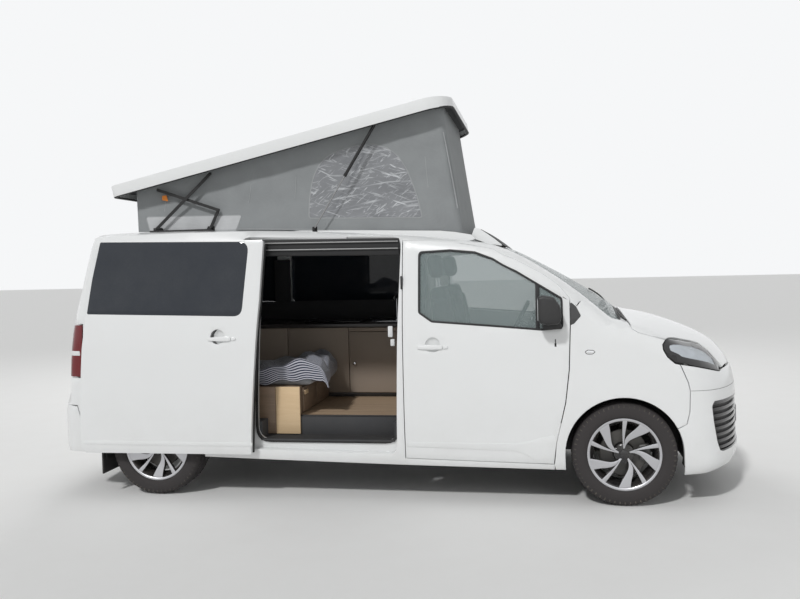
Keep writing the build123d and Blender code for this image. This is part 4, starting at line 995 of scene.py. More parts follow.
def side_outline():
    """The body side's outer edge, from the sill's front, round the rear wheel, the back and the roof."""
    door = inset(FRONT_DOOR, -gap())
    lamp_low, lamp_high = LAMP_BASE - gap(), LAMP_TOP + gap()
    points = on_wall([(1147, 234), (110, 251), (-777, 273), (-1297, 287)])
    points += on_wall(arc(REAR_AXLE, ARCH_RADIUS, 0, 180))
    points += on_wall([(-2059, 306), (-2104, 318), (-2184, 362), (-2262, 652)])
    points += [to_wall(rear_point(-y, z)) for y, z in ((900, 656), (740, 656), (740, lamp_low))]
    points += [to_wall(rear_point(-860, lamp_low))] + on_wall([(-2250, lamp_low), (-2196, lamp_low)])
    points += on_wall([(-2196, lamp_high), (-2230, lamp_high)]) + [to_wall(rear_point(-740, lamp_high))]
    points += [to_wall(rear_point(-740, z)) for z in (1500, 1650, 1760, 1838)]
    points += [to_wall(roof_point(x, -740)) for x in (-2180, -2100, -1600, -1050, -454, 118, 500, 700, 834)]
    points += [to_wall(roof_point(x, y)) for x, y in ((840, -702), (1000, -722), (1200, -747), (1395, -772))]
    points += on_wall([(1304, 1325)] + door[7:0:-1] + [door[0], door[12]])
    return points


class VAN_OT_body_sides(bpy.types.Operator):
    """Both body sides with their window and door openings, and the sliding door's recess"""

    bl_idname = "van.body_sides"
    bl_label = "Body sides"

    def execute(self, context):
        outline = side_outline()
        quarter, middle = (rounded(on_wall(window), WINDOW_ROUND) for window in (REAR_WINDOW, MIDDLE_WINDOW))
        for word, side in SIDES.items():
            opening = rounded(on_wall(RECESS), 70) if side < 0 else middle
            wall = wall_panel("body_wall", side, [outline, quarter, opening], depth(), pitch=70)
            dress(wall, "paint", "root", "white_paint", f"body_side_{word}")
            pane = wall_panel("quarter_pane", side, [quarter], 5, level=3, pitch=90, edge=1)
            dress(pane, "privacy_glass", "root", "dark_glass", "side_glass")
        pane = wall_panel("middle_pane", 1, [middle], 5, level=3, pitch=90, edge=1)
        dress(pane, "privacy_glass", "root", "dark_glass", "side_glass")
        outline = [on_wall(inset(RECESS, -12)), rounded(on_wall(DOORWAY), 96)]
        flange = wall_panel("door_recess", -1, outline, 22, level=44, pitch=80)
        dress(flange, "paint", "root", "white_paint")
        outline = [rounded(on_wall(inset(DOORWAY, -15)), 104), rounded(on_wall(inset(DOORWAY, 1)), 94)]
        seal = wall_panel("doorway_seal", -1, outline, 14, level=34, edge=3)
        dress(seal, "seal", "root", "black_plastic")
        return {"FINISHED"}


class VAN_OT_roof(bpy.types.Operator):
    """Roof skin round the hatch, rails beside the tent, and the windscreen with its black border"""

    bl_idname = "van.roof"
    bl_label = "Roof and windscreen"

    def execute(self, context):
        edge = (-2150, -2100, -1600, -1050, -454, 118, 500, 700, 832)
        edge = [to_top(roof_point(x, -ROOF_JOINT)) for x in edge]
        inner = [(x, across + gap()) for x, across in edge]
        rear = (-1, -200, -400, -560, -660, -724)
        rear = [to_top(rear_point(y, tailgate_top(y) + 2 * gap())) for y in rear]
        outline = rear + inner
        outline = outline + across_top(outline)[::-1]
        hatch = rounded(HATCH, 60)
        roof = skin_panel("roof_skin", "top", [outline, hatch], 20, pitch=50)
        dress(roof, "paint", "root", "white_paint", "roof_panel")
        half = [to_top(roof_point(x, y)) for x, y in
                ((844, -699), (1000, -719), (1200, -744), (1400, -769), (1582, -790))]
        whole = half + across_top(half)[::-1]
        screen = skin_panel("screen_glass", "top", [whole], 5, level=3, pitch=70, edge=1)
        dress(screen, "clear_glass", "root", "clear_glass", "windscreen")
        rail = upright("roof_frame", [rounded(ROOF_RAIL, 14)], -694, 42, edge=7, pitch=120)
        pair(rail, "roof_frame", "paint", "white_paint")
        border = [inset(whole, -1), rounded(inset(whole, 45), 60)]
        band = skin_panel("screen_border", "top", border, 1.2, level=8.5, pitch=70, edge=0)
        dress(band, "gloss_black", "root", "black_plastic")
        return {"FINISHED"}


class VAN_OT_front_doors(bpy.types.Operator):
    """Front doors with panes, window seals, mouldings and handles"""

    bl_idname = "van.front_doors"
    bl_label = "Front doors"

    def execute(self, context):
        for word, side in SIDES.items():
            body = f"front_door_{word}"
            outline = on_wall(inset(FRONT_DOOR, gap()))
            window = rounded(on_wall(FRONT_DOOR_WINDOW), 28)
            hollow = bowl_outline(DOOR_HANDLE[0], DOOR_HANDLE[1] + 14)
            door = wall_panel("door_skin", side, [outline, window, hollow], depth(), pitch=60)
            dress(door, "paint", body, "white_paint", body)
            glass, outer, inner = (rounded(on_wall(inset(FRONT_DOOR_WINDOW, amount)), radius)
                                   for amount, radius in ((-3, 28), (-4, 30), (9, 24)))
            pane = wall_panel("door_pane", side, [glass], 5, level=7, pitch=90, edge=0)
            dress(pane, "clear_glass", body, "clear_glass", f"door_glass_{word}")
            seal = wall_panel("window_seal", side, [outer, inner], 12, level=-1.5, edge=1.5)
            dress(seal, "seal", body, "black_plastic")
            bar = on_wall([(1040, 1166), (1040, 1482), (1066, 1466), (1066, 1166)])
            bar = wall_panel("window_bar", side, [bar], 14, level=0, edge=1.5)
            dress(bar, "seal", body, "black_plastic")
            handle(side, body, *DOOR_HANDLE)
            moulding = on_wall(DOOR_MOULDING)
            crease = wall_panel("door_moulding", side, [moulding], 3, level=-3, pitch=60, edge=1.4)
            dress(crease, "paint", body, "white_paint")
        for word, side in SIDES.items():
            pane = [(1216, 1176), (1216, 1384), (1252, 1360), (1251, 1190), (1236, 1180)]
            rear = wall_panel("quarter_glass", side, [on_wall(pane)], 6, level=0.5, edge=1)
            dress(rear, "quarter_film", f"front_door_{word}", "dark_glass")
            front = rounded([(1262, 1194), (1263, 1352), (1301, 1317), (1332, 1256), (1288, 1207)], 14)
            wing = wall_panel("wing_glass", side, [on_wall(front)], 5, level=-2, edge=1)
            dress(wing, "quarter_film", "root", "dark_glass")
        return {"FINISHED"}


def bowl_outline(x, z, radius=HANDLE_HOLLOW):
    """Wall places round the hollow behind a door handle."""
    return on_wall(arc((x, z), radius, 0, 360)[:-1])


def handle(side, body, x, z, shift=0):
    """A door handle's hollow, bar and lock cap."""
    middle, height = on_wall([(x, z + 14)])[0]

    def hollow(flat):
        away = np.hypot(np.abs(flat[:, 0]) - abs(middle), flat[:, 1] - height) / HANDLE_HOLLOW
        return 1 + HANDLE_DEPTH * np.sqrt(np.clip(1 - away**2, 0, 1))

    def arched(flat):
        away = (np.abs(flat[:, 0]) - abs(middle) - 10) / 100
        return -HANDLE_OUT - HANDLE_ARCH * np.clip(1 - away**2, 0, 1)

    bar, cap = (on_wall(rounded([(x + ahead, z + up) for ahead, up in shape], radius))
                for shape, radius in ((HANDLE_BAR, 14), (HANDLE_CAP, 7)))
    for name, outline, thickness, level, pitch, edge in (
        ("handle_hollow", bowl_outline(x, z + 14, HANDLE_HOLLOW + 1), 2, hollow, 9, 0),
        ("handle_bar", bar, 15, arched, 16, 5), ("handle_cap", cap, 14, -11, 16, 4),
    ):
        piece = wall_panel(name, side, [outline], thickness, level=level, pitch=pitch, edge=edge, shift=shift)
        dress(piece, "paint", body, "white_paint")


def grille_outline(out=0):
    """Wall places of the grille's opening, from the right end to the left."""
    half = on_wall([(x + 1.4 * out, z) for x, z in GRILLE_END])
    half = [(0, GRILLE_END[-1][1] - out)] + half[::-1] + [(0, GRILLE_END[0][1] + out)]
    half[1] = (half[1][0], half[1][1] - out)
    half[-2] = (half[-2][0], half[-2][1] + out)
    return rounded(half[1:-1] + mirrored(half[1:-1])[::-1], 26)


class VAN_OT_nose(bpy.types.Operator):
    """Bonnet, wings, bumper with its grille, wipers, and the strip below the windscreen"""

    bl_idname = "van.nose"
    bl_label = "Nose"

    def execute(self, context):
        door = inset(FRONT_DOOR, -gap())
        lamp_back = [(x - 2 * gap(), z) for x, z in ((1867, 1090), (1846, 1063), (1850, 1031), (1877, 980))]
        wing = on_wall([(1155, 234)] + door[12:6:-1] + [(1306, 1318)])
        wing += [to_wall(roof_point(x, y)) for x, y in ((1401, -776), (1500, -789), (1590, -800))]
        wing += on_wall([(1600, 1226), (1650, 1165), (1690, 1140), (1771, 1116)] + lamp_back)
        wing += on_wall([(1918, 938), (1950, 930)])
        wing += on_wall([(x - gap(), z) for x, z in WING_SEAM[1:]])
        wing += on_wall(arc(FRONT_AXLE, ARCH_RADIUS, 28, 180) + [(1220, 234)])
        for side in (-1, 1):
            panel = wall_panel("front_wing", side, [wing], 20, pitch=36)
            dress(panel, "paint", "root", "white_paint", "front_wings")
        half = [(1634, -1), (1634, -500), (1640, -700)]
        side = ((1652, 1171), (1692, 1146), (1773, 1122), (1868, 1098))
        half += [to_top(side_point(x, z)) for x, z in side]
        half += [to_top(side_point(x, z + 2 * gap())) for x, z in HEADLAMP[:-6:-1]]
        half += [to_top(front_point(y, z)) for y, z in ((-600, 882), (-400, 882), (-200, 882), (-1, 882))]
        bonnet = skin_panel("bonnet_skin", "top", [half + across_top(half)[::-1]], 18, pitch=36)
        dress(bonnet, "paint", "bonnet", "white_paint", "bonnet")

        low = [to_wall(front_point(y, z)) for y, z in ((-1, 224), (-300, 222), (-560, 218))]
        low += on_wall([(2142, 212), (1979, 206)] + arc(FRONT_AXLE, ARCH_RADIUS, 0, 27))
        low += on_wall([(x + gap(), z) for x, z in WING_SEAM[:0:-1]])
        low += on_wall([(1957, 930), (2040, 915), (2231, 861)])
        low += [to_wall(front_point(y, 874)) for y in (-600, -400, -200, -1)]
        outline = [low + mirrored(low)[::-1], grille_outline()]
        bumper = skin_panel("front_bumper_skin", "wall", outline, 24, pitch=36)
        dress(bumper, "paint", "root", "white_paint", "front_bumper")
        back = skin_panel("grille_back", "wall", [grille_outline(14)], 4, level=40, pitch=60, edge=0)
        dress(back, "plastic", "root", "black_plastic", "front_grille")
        outline = [grille_outline(1), grille_outline(-12)]
        rim = skin_panel("grille_rim", "wall", outline, 34, level=3, pitch=60)
        dress(rim, "gloss_black", "root", "black_plastic")
        ends = np.array(sorted(GRILLE_END, key=lambda point: point[1]), float)
        for place, height in enumerate(np.arange(374, 672, SLAT_PITCH)):
            end = float(np.interp(height, ends[:, 1], ends[:, 0])) + 8
            start = on_wall([(end, height)])[0][0]
            low, high = height - SLAT_HALF, height + SLAT_HALF
            slat = [(start, low), (-start, low), (-start, high), (start, high)]
            slat = skin_panel(f"grille_slat_{place}", "wall", [slat], 22, level=9, pitch=60, edge=4)
            dress(slat, "gloss_black", "root", "black_plastic")
        plate = rounded([(-262, 452), (262, 452), (262, 566), (-262, 566)], 8)
        plate = skin_panel("number_plate", "wall", [plate], 5, level=-3, edge=1)
        dress(plate, "plate", "root", "white_paint")
        seam = skin_panel("bumper_seam", "wall", [bumper_seam()], 2, level=-0.4, edge=0)
        dress(seam, "seal", "root", "black_plastic")
        cowl = [(1588, -1), (1588, -600), (1590, -770), (1610, -778), (1612, -600), (1612, -1)]
        strip = skin_panel("cowl", "top", [cowl + across_top(cowl)[::-1]], 14, level=8, edge=2)
        dress(strip, "plastic", "root", "black_plastic")
        for number, places in enumerate((((1598, -480), (1600, -640), (1612, -740), (1626, -800)),
                                         ((1590, 420), (1540, 200), (1470, -60), (1420, -220)))):
            arm = [tuple(np.array(roof_point(x, y)) + (0, 0, 9)) for x, y in places]
            dress(tube(f"wiper_{number}", arm, 6), "plastic", "root", "black_plastic")
        return {"FINISHED"}


def bumper_seam():
    """A thin line across the bumper's top, from wing to wing."""
    half = on_wall([(2019, 759), (2150, 757), (2260, 756)])
    half += [to_wall(front_point(y, 755)) for y in (-500, -250, -1)]
    upper = [(way, height + 2.4) for way, height in half]
    return half + mirrored(half)[::-1] + mirrored(upper) + upper[::-1]


# Reflectors of the headlamp: X, Z and radius
LAMP_SPOTS = ((2050, 998, 28), (2118, 968, 22), (2160, 944, 15))


class VAN_OT_headlamps(bpy.types.Operator):
    """Headlamps with black bowls, reflectors, light strips and clear lenses"""

    bl_idname = "van.headlamps"
    bl_label = "Headlamps"

    def execute(self, context):
        outline = on_wall(HEADLAMP)
        inner = rounded(on_wall(LAMP_LENS), 9)
        strip = on_wall(LAMP_STRIP)
        for word, side in SIDES.items():
            lens = wall_panel("lamp_lens", side, [inset(inner, -1)], 3, level=3, pitch=30, edge=0.5)
            dress(lens, "lamp_glass", "root", "lamp_glass", "headlamps")
            bowl = wall_panel("lamp_bowl", side, [inset(outline, -3)], 4, level=60, pitch=40, edge=0)
            dress(bowl, "plastic", "root", "black_plastic")
            rim = wall_panel("lamp_rim", side, [inset(outline, 0.5), inner], 40, level=2.6, pitch=40)
            dress(rim, "gloss_black", "root", "black_plastic")
            light = wall_panel("lamp_strip", side, [strip], 6, level=16, edge=1)
            dress(light, "plate", "root", "lamp_glass")
            for number, (x, z, radius) in enumerate(LAMP_SPOTS):
                spot = side_point(x, z)
                middle = Vector((spot[0] - 12, -side * (spot[1] + 24), spot[2])) * MM
                cup = [(0.01, -12), (radius * 0.5, -10), (radius * 0.85, -5), (radius, 2), (radius + 1, 1),
                       (radius * 0.9, -8), (radius * 0.6, -13), (0.01, -15)]
                bulb = [(0.01, -10), (radius * 0.34, -8), (radius * 0.42, -3), (radius * 0.3, 2), (0.01, 4)]
                for kind, profile, steps, finish in (("cup", cup, 28, "reflector"),
                                                     ("bulb", bulb, 24, "lamp_glass")):
                    turned = lathe(f"lamp_{kind}_{number}_{word}", profile, steps)
                    aim(turned, middle, Vector((0.5, side * 0.86, 0.06)))
                    dress(turned, finish, "root", "lamp_glass")
        return {"FINISHED"}


def tailgate_top(y):
    """Height of the tailgate's upper edge."""
    return TAILGATE_TOP + 18 * (1 - (y / TAILGATE_HALF) ** 2)


class VAN_OT_rear(bpy.types.Operator):
    """Rear bumper, tailgate with its glass, handle and wiper, and tail lamps"""

    bl_idname = "van.rear"
    bl_label = "Rear"

    def execute(self, context):
        low = gap()
        half = on_wall([(-2062, 312 - low), (-2106, 313 - low), (-2188, 357), (-2268, 640)])
        half += [to_wall(rear_point(-y, z)) for y, z in ((900, 649), (740, 648), (400, 650), (1, 650))]
        other = [(-way - 2 * HALF_WAY, height) for way, height in half[::-1]]
        bumper = skin_panel("rear_bumper_skin", "wall", [half + other], 22, pitch=40)
        dress(bumper, "paint", "root", "white_paint", "rear_bumper")
        ends = [to_wall(rear_point(-y, 400))[0] for y in (690, -690)]
        ends[1] -= 2 * HALF_WAY
        step = rounded([(ends[0], 322), (ends[1], 322), (ends[1], 420), (ends[0], 420)], 30)
        step = skin_panel("bumper_insert", "wall", [step], 6, level=-3, pitch=50)
        dress(step, "plastic", "root", "black_plastic")
        for side in (-1, 1):
            spots = ((660, 500), (800, 496), (800, 530), (660, 534))
            spots = [to_wall(rear_point(side * y, z)) for y, z in spots]
            spots = [(-abs(way), height) for way, height in spots]
            mark = wall_panel("rear_reflector", side, [rounded(spots, 10)], 6, level=-3, edge=1.5)
            dress(mark, "red_lens", "root", "red_lamp")

        edge = TAILGATE_HALF - low
        upper = [(y, tailgate_top(y)) for y in np.linspace(edge - 24, 24 - edge, 9)]
        gate = [(-edge, TAILGATE_BASE + 20), (20 - edge, TAILGATE_BASE), (edge - 20, TAILGATE_BASE),
                (edge, TAILGATE_BASE + 20), (edge, TAILGATE_TOP - 22)] + upper + [(-edge, TAILGATE_TOP - 22)]
        window = rounded([(-630, 1320), (630, 1320), (600, 1760), (-600, 1760)], 70)
        door = skin_panel("tailgate_skin", "rear", [gate, window], 36, pitch=50, edge=4)
        dress(door, "paint", "tailgate", "white_paint", "tailgate")
        glass = rounded([(-640, 1310), (640, 1310), (610, 1770), (-610, 1770)], 76)
        pane = skin_panel("tailgate_pane", "rear", [glass], 5, level=-1.5, pitch=70, edge=1)
        dress(pane, "privacy_glass", "tailgate", "dark_glass", "tailgate_glass")
        hollow = rounded([(-330, 900), (330, 900), (330, 1120), (-330, 1120)], 30)
        recess = skin_panel("plate_recess", "rear", [hollow, inset(hollow, 10)], 8, level=-4, pitch=60)
        dress(recess, "paint", "tailgate", "white_paint")
        plate = rounded([(-260, 930), (260, 930), (260, 1042), (-260, 1042)], 8)
        plate = skin_panel("rear_plate", "rear", [plate], 5, level=-4, edge=1)
        dress(plate, "plate", "tailgate", "white_paint")
        bar = rounded([(-300, 1128), (300, 1128), (290, 1166), (-290, 1166)], 12)
        bar = skin_panel("tailgate_handle", "rear", [bar], 16, level=-13, pitch=60, edge=5)
        dress(bar, "plastic", "tailgate", "black_plastic")
        lamp = rounded([(-150, 1796), (150, 1796), (150, 1816), (-150, 1816)], 6)
        lamp = skin_panel("high_brake_lamp", "rear", [lamp], 5, level=-3)
        dress(lamp, "red_lens", "tailgate", "red_lamp")
        arm = block("wiper_arm", (-2354, -14, 1318), (-2336, 14, 1345), 5)
        blade = tube("wiper_blade", [(-2346, -10, 1334), (-2342, 200, 1350), (-2340, 420, 1352)], 7)
        wiper = join("rear_wiper", [arm, blade])
        dress(wiper, "plastic", "tailgate", "black_plastic")

        base, top = LAMP_BASE + 6, LAMP_TOP - 6
        corners = [to_wall(rear_point(-y, z)) for y, z in ((746, top), (746, 1050), (746, base), (860, base))]
        corners += on_wall([(-2246, base), (-2204, base), (-2204, top), (-2236, top)])
        for side in (-1, 1):
            lens = wall_panel("tail_lamp", side, [rounded(corners, 18)], 30, level=-2, pitch=30, edge=5)
            dress(lens, "red_lens", "root", "red_lamp", "tail_lamps")
            # A pale band across each tail lamp: painted highlight, standing in for white glints on the red
            # lens
            middle = [(way, height) for way, height in inset(corners, 22) if height]
            band = [(way, TAIL_HIGHLIGHT_HEIGHT + (height - LAMP_MIDDLE) * 0.1) for way, height in middle]
            clear = wall_panel("reverse_lamp", side, [rounded(band, 8)], 4, level=-4, pitch=30, edge=1)
            dress(clear, "plate", "root", "lamp_glass")
        return {"FINISHED"}


class VAN_OT_sliding_door(bpy.types.Operator):
    """The sliding door, slid open, with its glass, handle and moulding"""

    bl_idname = "van.sliding_door"
    bl_label = "Sliding door"

    def execute(self, context):
        window = rounded(on_wall(inset(SLIDING_WINDOW, 16)), 40)
        outline = rounded(on_wall(SLIDING_DOOR), 14)
        skin = wall_panel("sliding_skin", -1, [outline, window, bowl_outline(*SLIDING_HOLLOW)], 40, pitch=60,
                          shift=DOOR_SHIFT, edge=3.5)
        dress(skin, "paint", "root", "white_paint", "sliding_door")
        rear, front = rounded(on_wall(SLIDING_WINDOW), 14), rounded(on_wall(SLIDING_WINDOW), 64)
        half = len(rear) // 2
        pane = wall_panel("sliding_pane", -1, [rear[:half] + front[half:]], 5, level=-1.2, pitch=80,
                          shift=DOOR_SHIFT, edge=1)
        dress(pane, "privacy_glass", "root", "dark_glass", "sliding_door_glass")
        handle(-1, "root", *SLIDING_HANDLE, DOOR_SHIFT)
        strip = on_wall([(-2190, 379), (-916, 379), (-912, 408), (-2010, 408), (-2192, 404)])
        moulding = wall_panel("sliding_moulding", -1, [strip], 3, level=-3, shift=DOOR_SHIFT, edge=1.4,
                              pitch=80)
        dress(moulding, "paint", "root", "white_paint")
        edge = on_wall([(-918, 330), (-888, 708), (-831, 1398), (-814, 1806), (-838, 1806), (-856, 1398),
                        (-912, 708), (-942, 330)])
        seal = wall_panel("sliding_seal", -1, [edge], 12, level=36, shift=DOOR_SHIFT, edge=3)
        dress(seal, "seal", "root", "black_plastic")
        return {"FINISHED"}


class VAN_OT_mirrors(bpy.types.Operator):
    """Door mirrors, side repeaters and the fuel flap"""

    bl_idname = "van.mirrors"
    bl_label = "Mirrors and small trim"

    def execute(self, context):
        outline = rounded([(1058, 1252), (1052, 1388), (1092, 1397), (1158, 1384), (1196, 1330), (1206, 1262),
                           (1190, 1212), (1120, 1206), (1066, 1218)], 26)
        shell = upright("mirror_shell", [outline], -1098, 112, edge=26)
        round_edges(shell, 4, sharper=40)
        foot = rounded([(1090, 1170), (1084, 1215), (1196, 1222), (1214, 1176)], 12)
        foot = upright("mirror_foot", [foot], -1010, 100, edge=10)
        housing = join("mirror", [shell, foot])
        bodies = ("front_door_right", "front_door_left")
        pair(housing, "mirror_housing", "plastic", "black_plastic", bodies, ("mirror_right", "mirror_left"))
        face = rounded([(-1090, 1236), (-996, 1236), (-996, 1380), (-1090, 1380)], 16)
        glass = flat_sheet("mirror_glass", [face], 60)
        turn = Matrix(((0, 0, -1, 1054.4 * MM), (1, 0, 0, 0), (0, 1, 0, 0), (0, 0, 0, 1)))
        glass.data.transform(turn)
        glass.data.flip_normals()
        thicken(glass, 3)
        if glass.data.polygons[0].normal.x > 0:
            glass.data.flip_normals()
        pair(glass, "mirror_face", "mirror_glass", "lamp_glass", bodies)
        shape = [(1352, 1020), (1372, 1032), (1404, 1030), (1418, 1020), (1398, 1008), (1368, 1008)]
        shape = rounded(on_wall(shape), 7)
        for side in (-1, 1):
            lens = wall_panel("side_repeater", side, [shape], 8, level=-6, edge=2.5)
            dress(lens, "reflector", "root", "lamp_glass")
            inner = wall_panel("repeater_base", side, [rounded(inset(shape, -3), 5)], 4, level=-2, edge=1)
            dress(inner, "plastic", "root", "black_plastic")
        flap = rounded([(-330, 900), (-150, 900), (-150, 1060), (-330, 1060)], 24)
        door = wall_panel("fuel_flap", 1, [on_wall(flap)], 4, level=-2.5, edge=1.2)
        dress(door, "paint", "root", "white_paint")
        return {"FINISHED"}


# Wheels: name, axle, Y and the body that carries the calliper
WHEEL_PLACES = (
    ("front_right", FRONT_AXLE, -813.5, "knuckle_right"), ("front_left", FRONT_AXLE, 813.5, "knuckle_left"),
    ("rear_right", REAR_AXLE, -800, "root"), ("rear_left", REAR_AXLE, 800, "root"),
)
TYRE_PROFILE = [
    (238, -86), (239, -97), (245, -104), (256, -109), (272, -112), (298, -110), (318, -104), (330, -95),
    (335.5, -86), (337.5, -60), (331, -59), (331, -51), (338.5, -50), (339.5, -18), (332.5, -17), (332.5, -9),
    (340, -8),
    (340, 8), (332.5, 9), (332.5, 17), (339.5, 18), (338.5, 50), (331, 51), (331, 59), (337.5, 60),
    (335.5, 86), (330, 95), (318, 104), (298, 110), (272, 112), (256, 109), (245, 104), (239, 97), (238, 86),
    (240, 0), (238, -86),
]
RIM_PROFILE = [
    (222, -94), (234, -96.5), (237.5, -94), (236, -88), (226, -82), (222, -70), (198, -40), (196, 40),
    (214, 72), (222, 84), (226, 90), (236, 96), (232, 97), (218, 92), (208, 76), (190, 44), (190, -40),
    (206, -72), (214, -86), (222, -94),
]
HUB_PROFILE = [(0.01, -72), (30, -72), (58, -70), (64, -66), (66, -58), (66, -30), (40, -20), (0.01, -20)]
CAP_PROFILE = [(0.01, -84), (21, -83.5), (26, -81), (27, -77), (26, -68), (0.01, -68)]
BOLT_PROFILE = [(0.01, -77), (7, -77), (8, -75.5), (8, -60), (0.01, -60)]
WELL_PROFILE = [(0.01, -73), (12, -73), (13, -72), (13, -66), (0.01, -66)]
EDGE_PROFILE = [(222, -95), (225, -97), (234, -98.5), (238, -97.5), (238.5, -94), (226, -92), (222, -95)]
DISC_PROFILE = [
    (40, 6), (70, 6), (72, -18), (152, -18), (154, -16), (154, -8), (152, -6), (154, -4), (154, 4), (152, 6),
    (80, 6), (76, 14), (40, 14), (40, 6),
]
TREAD_CREST = 341.6
TREAD_BASE = 334.5
# Rows of tread blocks: place across the tyre, width and turn
TREAD_ROWS = ((-72, 20, 0), (-34, 26, 2), (0, 12, 1), (34, 26, 3), (72, 20, 0))
TREAD_COUNT = 60
SPOKE_COUNT = 5
SPOKE_START = 46
SPOKE_RUN = 176
SPOKE_ROOT = 76  # how far out the spokes stand at the hub, and how much farther at the rim
SPOKE_DISH = 17
# Wheel spokes seen from outside: radius and angle from the tip, first the leading edge, then the trailing one
BROAD_BLADE = [[(241, -10.5), (190, -7), (147, 0), (118, 8), (95, 16), (74, 22), (57, 26.6), (31, 30)],
               [(31, 52), (52, 40), (72, 37), (96, 35), (120, 29), (147.6, 22), (184, 14), (241, 9.5)]]
THIN_BLADE = [[(247, -4.2), (170, -2.2), (120, -0.3), (80, 0.8), (44, 1.3), (31, 0)],
              [(31, 15), (44, 12.3), (80, 9.4), (120, 7.9), (170, 6.2), (247, 4.2)]]
BLADE_TIPS = {"broad": (BROAD_BLADE, 53), "thin": (THIN_BLADE, 16)}
BOLT_ANGLE = 59
BOLT_CIRCLE = 52


def blade(name, kind, inward, face, thickness, edge):
    """One wheel spoke, its outer face dished, turned to its place."""
    halves, angle = BLADE_TIPS[kind]
    outline = []
    for half in halves:
        turns = [(radius, math.radians(turn)) for radius, turn in half]
        points = [(radius * math.cos(turn), radius * math.sin(turn)) for radius, turn in turns]
        outline += [tuple(point) for point in smooth_curve(points, closed=False, rounds=1)]
    obj = flat_sheet(name, [inset(outline[::-1], inward) if inward else outline[::-1]], 14)

    def dished(places):
        run = ramp(np.hypot(places[:, 0], places[:, 1]), SPOKE_START, SPOKE_RUN)
        places[:, 2] = SPOKE_ROOT + SPOKE_DISH * run**0.7 + face
        return places

    reshape(obj, dished)
    obj.data.transform(Matrix.Rotation(math.radians(-angle), 4, "Y") @ Matrix.Rotation(math.pi / 2, 4, "X"))
    thicken(obj, thickness)
    round_edges(obj, edge)
    smooth_by_angle(35)
    return obj


class VAN_OT_wheels(bpy.types.Operator):
    """Four alloy wheels with tyres, brake discs and callipers"""

    bl_idname = "van.wheels"
    bl_label = "Wheels"

    def execute(self, context):
        tyre = lathe("tyre", TYRE_PROFILE, 96)
        rows = []
        for row, (place, width, turn) in enumerate(TREAD_ROWS):
            low = (-12, place - width / 2, TREAD_BASE)
            high = (3, place + width / 2, TREAD_CREST - abs(place) / 18)
            lug = block(f"lug_{row}", low, high, 1.2, 1)
            lug.data.transform(Matrix.Rotation(math.radians(turn), 4, "Y"))
            rows.append(lug)
        tread = turned_copies(join("tread", rows), TREAD_COUNT, "tread")
        rib = block("shoulder_rib", (-4, -106.4, 300), (4, -98, 326), 1.5, 1)
        ribs = turned_copies(rib, TREAD_COUNT, "shoulder_rib")
        tyre = join("tyre", [tyre, tread])
        ribs.name = "tyre_ribs"
        rim = lathe("rim", RIM_PROFILE, 72)
        hub = lathe("hub", HUB_PROFILE, 48)
        cap = lathe("hub_cap", CAP_PROFILE, 40)
        turn = Matrix.Rotation(math.radians(-BOLT_ANGLE), 4, "Y")
        turn = turn @ Matrix.Translation((BOLT_CIRCLE * MM, 0, 0))
        bolt = lathe("bolt", BOLT_PROFILE, 6)
        well = lathe("bolt_well", WELL_PROFILE, 20)
        for piece in (bolt, well):
            piece.data.transform(turn)
        bright = [turned_copies(blade(kind, kind, 1.6, 1.2, 3, 0.8), SPOKE_COUNT, kind)
                  for kind in BLADE_TIPS]
        faces = join("wheel_faces", bright + [lathe("edge_ring", EDGE_PROFILE, 96)])
        dark = [turned_copies(blade(f"{kind}_back", kind, 0, 0, 24, 1.6), SPOKE_COUNT, f"{kind}_back")
                for kind in BLADE_TIPS]
        back = join("wheel_body", [rim, hub, turned_copies(well, SPOKE_COUNT, "well")] + dark)
        bolts = join("wheel_bolts", [turned_copies(bolt, SPOKE_COUNT, "bolt"), cap])
        disc = lathe("brake_disc", DISC_PROFILE, 64)
        jaw = rounded([(96, -52), (168, -58), (174, 0), (168, 58), (96, 52), (104, 0)], 16)
        jaw = upright("calliper", [jaw], -34, 66, 8)
        for name, (x, z), y, carrier in WHEEL_PLACES:
            turn = Matrix.Rotation(math.pi if y > 0 else 0, 4, "Z")
            place = Matrix.Translation((x * MM, y * MM, z * MM)) @ turn
            body = f"wheel_{name}"
            for piece, finish, slot, nodes in (
                (tyre, "tyre", "tyre", [f"tyre_{name}"]), (ribs, "dusty_rubber", "tyre", []),
                (back, "alloy_black", "alloy", [f"rim_{name}"]), (faces, "alloy", "alloy", []),
                (bolts, "alloy_black", "alloy", []), (disc, "brake_steel", "grey_steel", []),
            ):
                dress(copy_of(piece, f"{piece.name}_{name}", place), finish, body, slot, *nodes)
            dress(copy_of(jaw, f"calliper_{name}", place), "calliper_grey", carrier, "cast_steel")
        for piece in (tyre, ribs, back, faces, bolts, disc, jaw):
            bpy.data.objects.remove(piece)
        return {"FINISHED"}


LID_REAR = (-2039, 2161)
LID_FRONT = (497, 2714)
LID_LENGTH = math.dist(LID_REAR, LID_FRONT)
LID_SLOPE = math.atan2(LID_FRONT[1] - LID_REAR[1], LID_FRONT[0] - LID_REAR[0])
LID_PLACE = Matrix.Translation((LID_REAR[0] * MM, 0, LID_REAR[1] * MM)) @ Matrix.Rotation(-LID_SLOPE, 4, "Y")
FAIRING_HALF = 640
FAIRING_ENDS = (585, 835)
FAIRING_FLOOR = (1786, 1728)  # Z of the roof under those ends
FAIRING_BOW = 0.12
LID_HALF = 758
LID_FRONT_ROUND = 190
LID_REAR_ROUND = 60
LID_SIDE_RUN = 160
LID_REAR_RUN = 200
LID_DEPTH = 83
LID_BLOCK = 60  # the shell starts as a block this deep, whose underside is then opened
LID_SKIN = 14
LID_CROWN = 8
LID_RIB = 3.5
LID_TAPER = 16
LID_TAPER_RUN = 260
TENT_HALF = 640
TENT_LENGTH = 2450
# How far the wall hangs in at its middle, and its drawn and its soft folds
TENT_BELLY = 17
TENT_PULL = 2.4
TENT_SOFT = 2.6
TENT_END_BELLY = 12
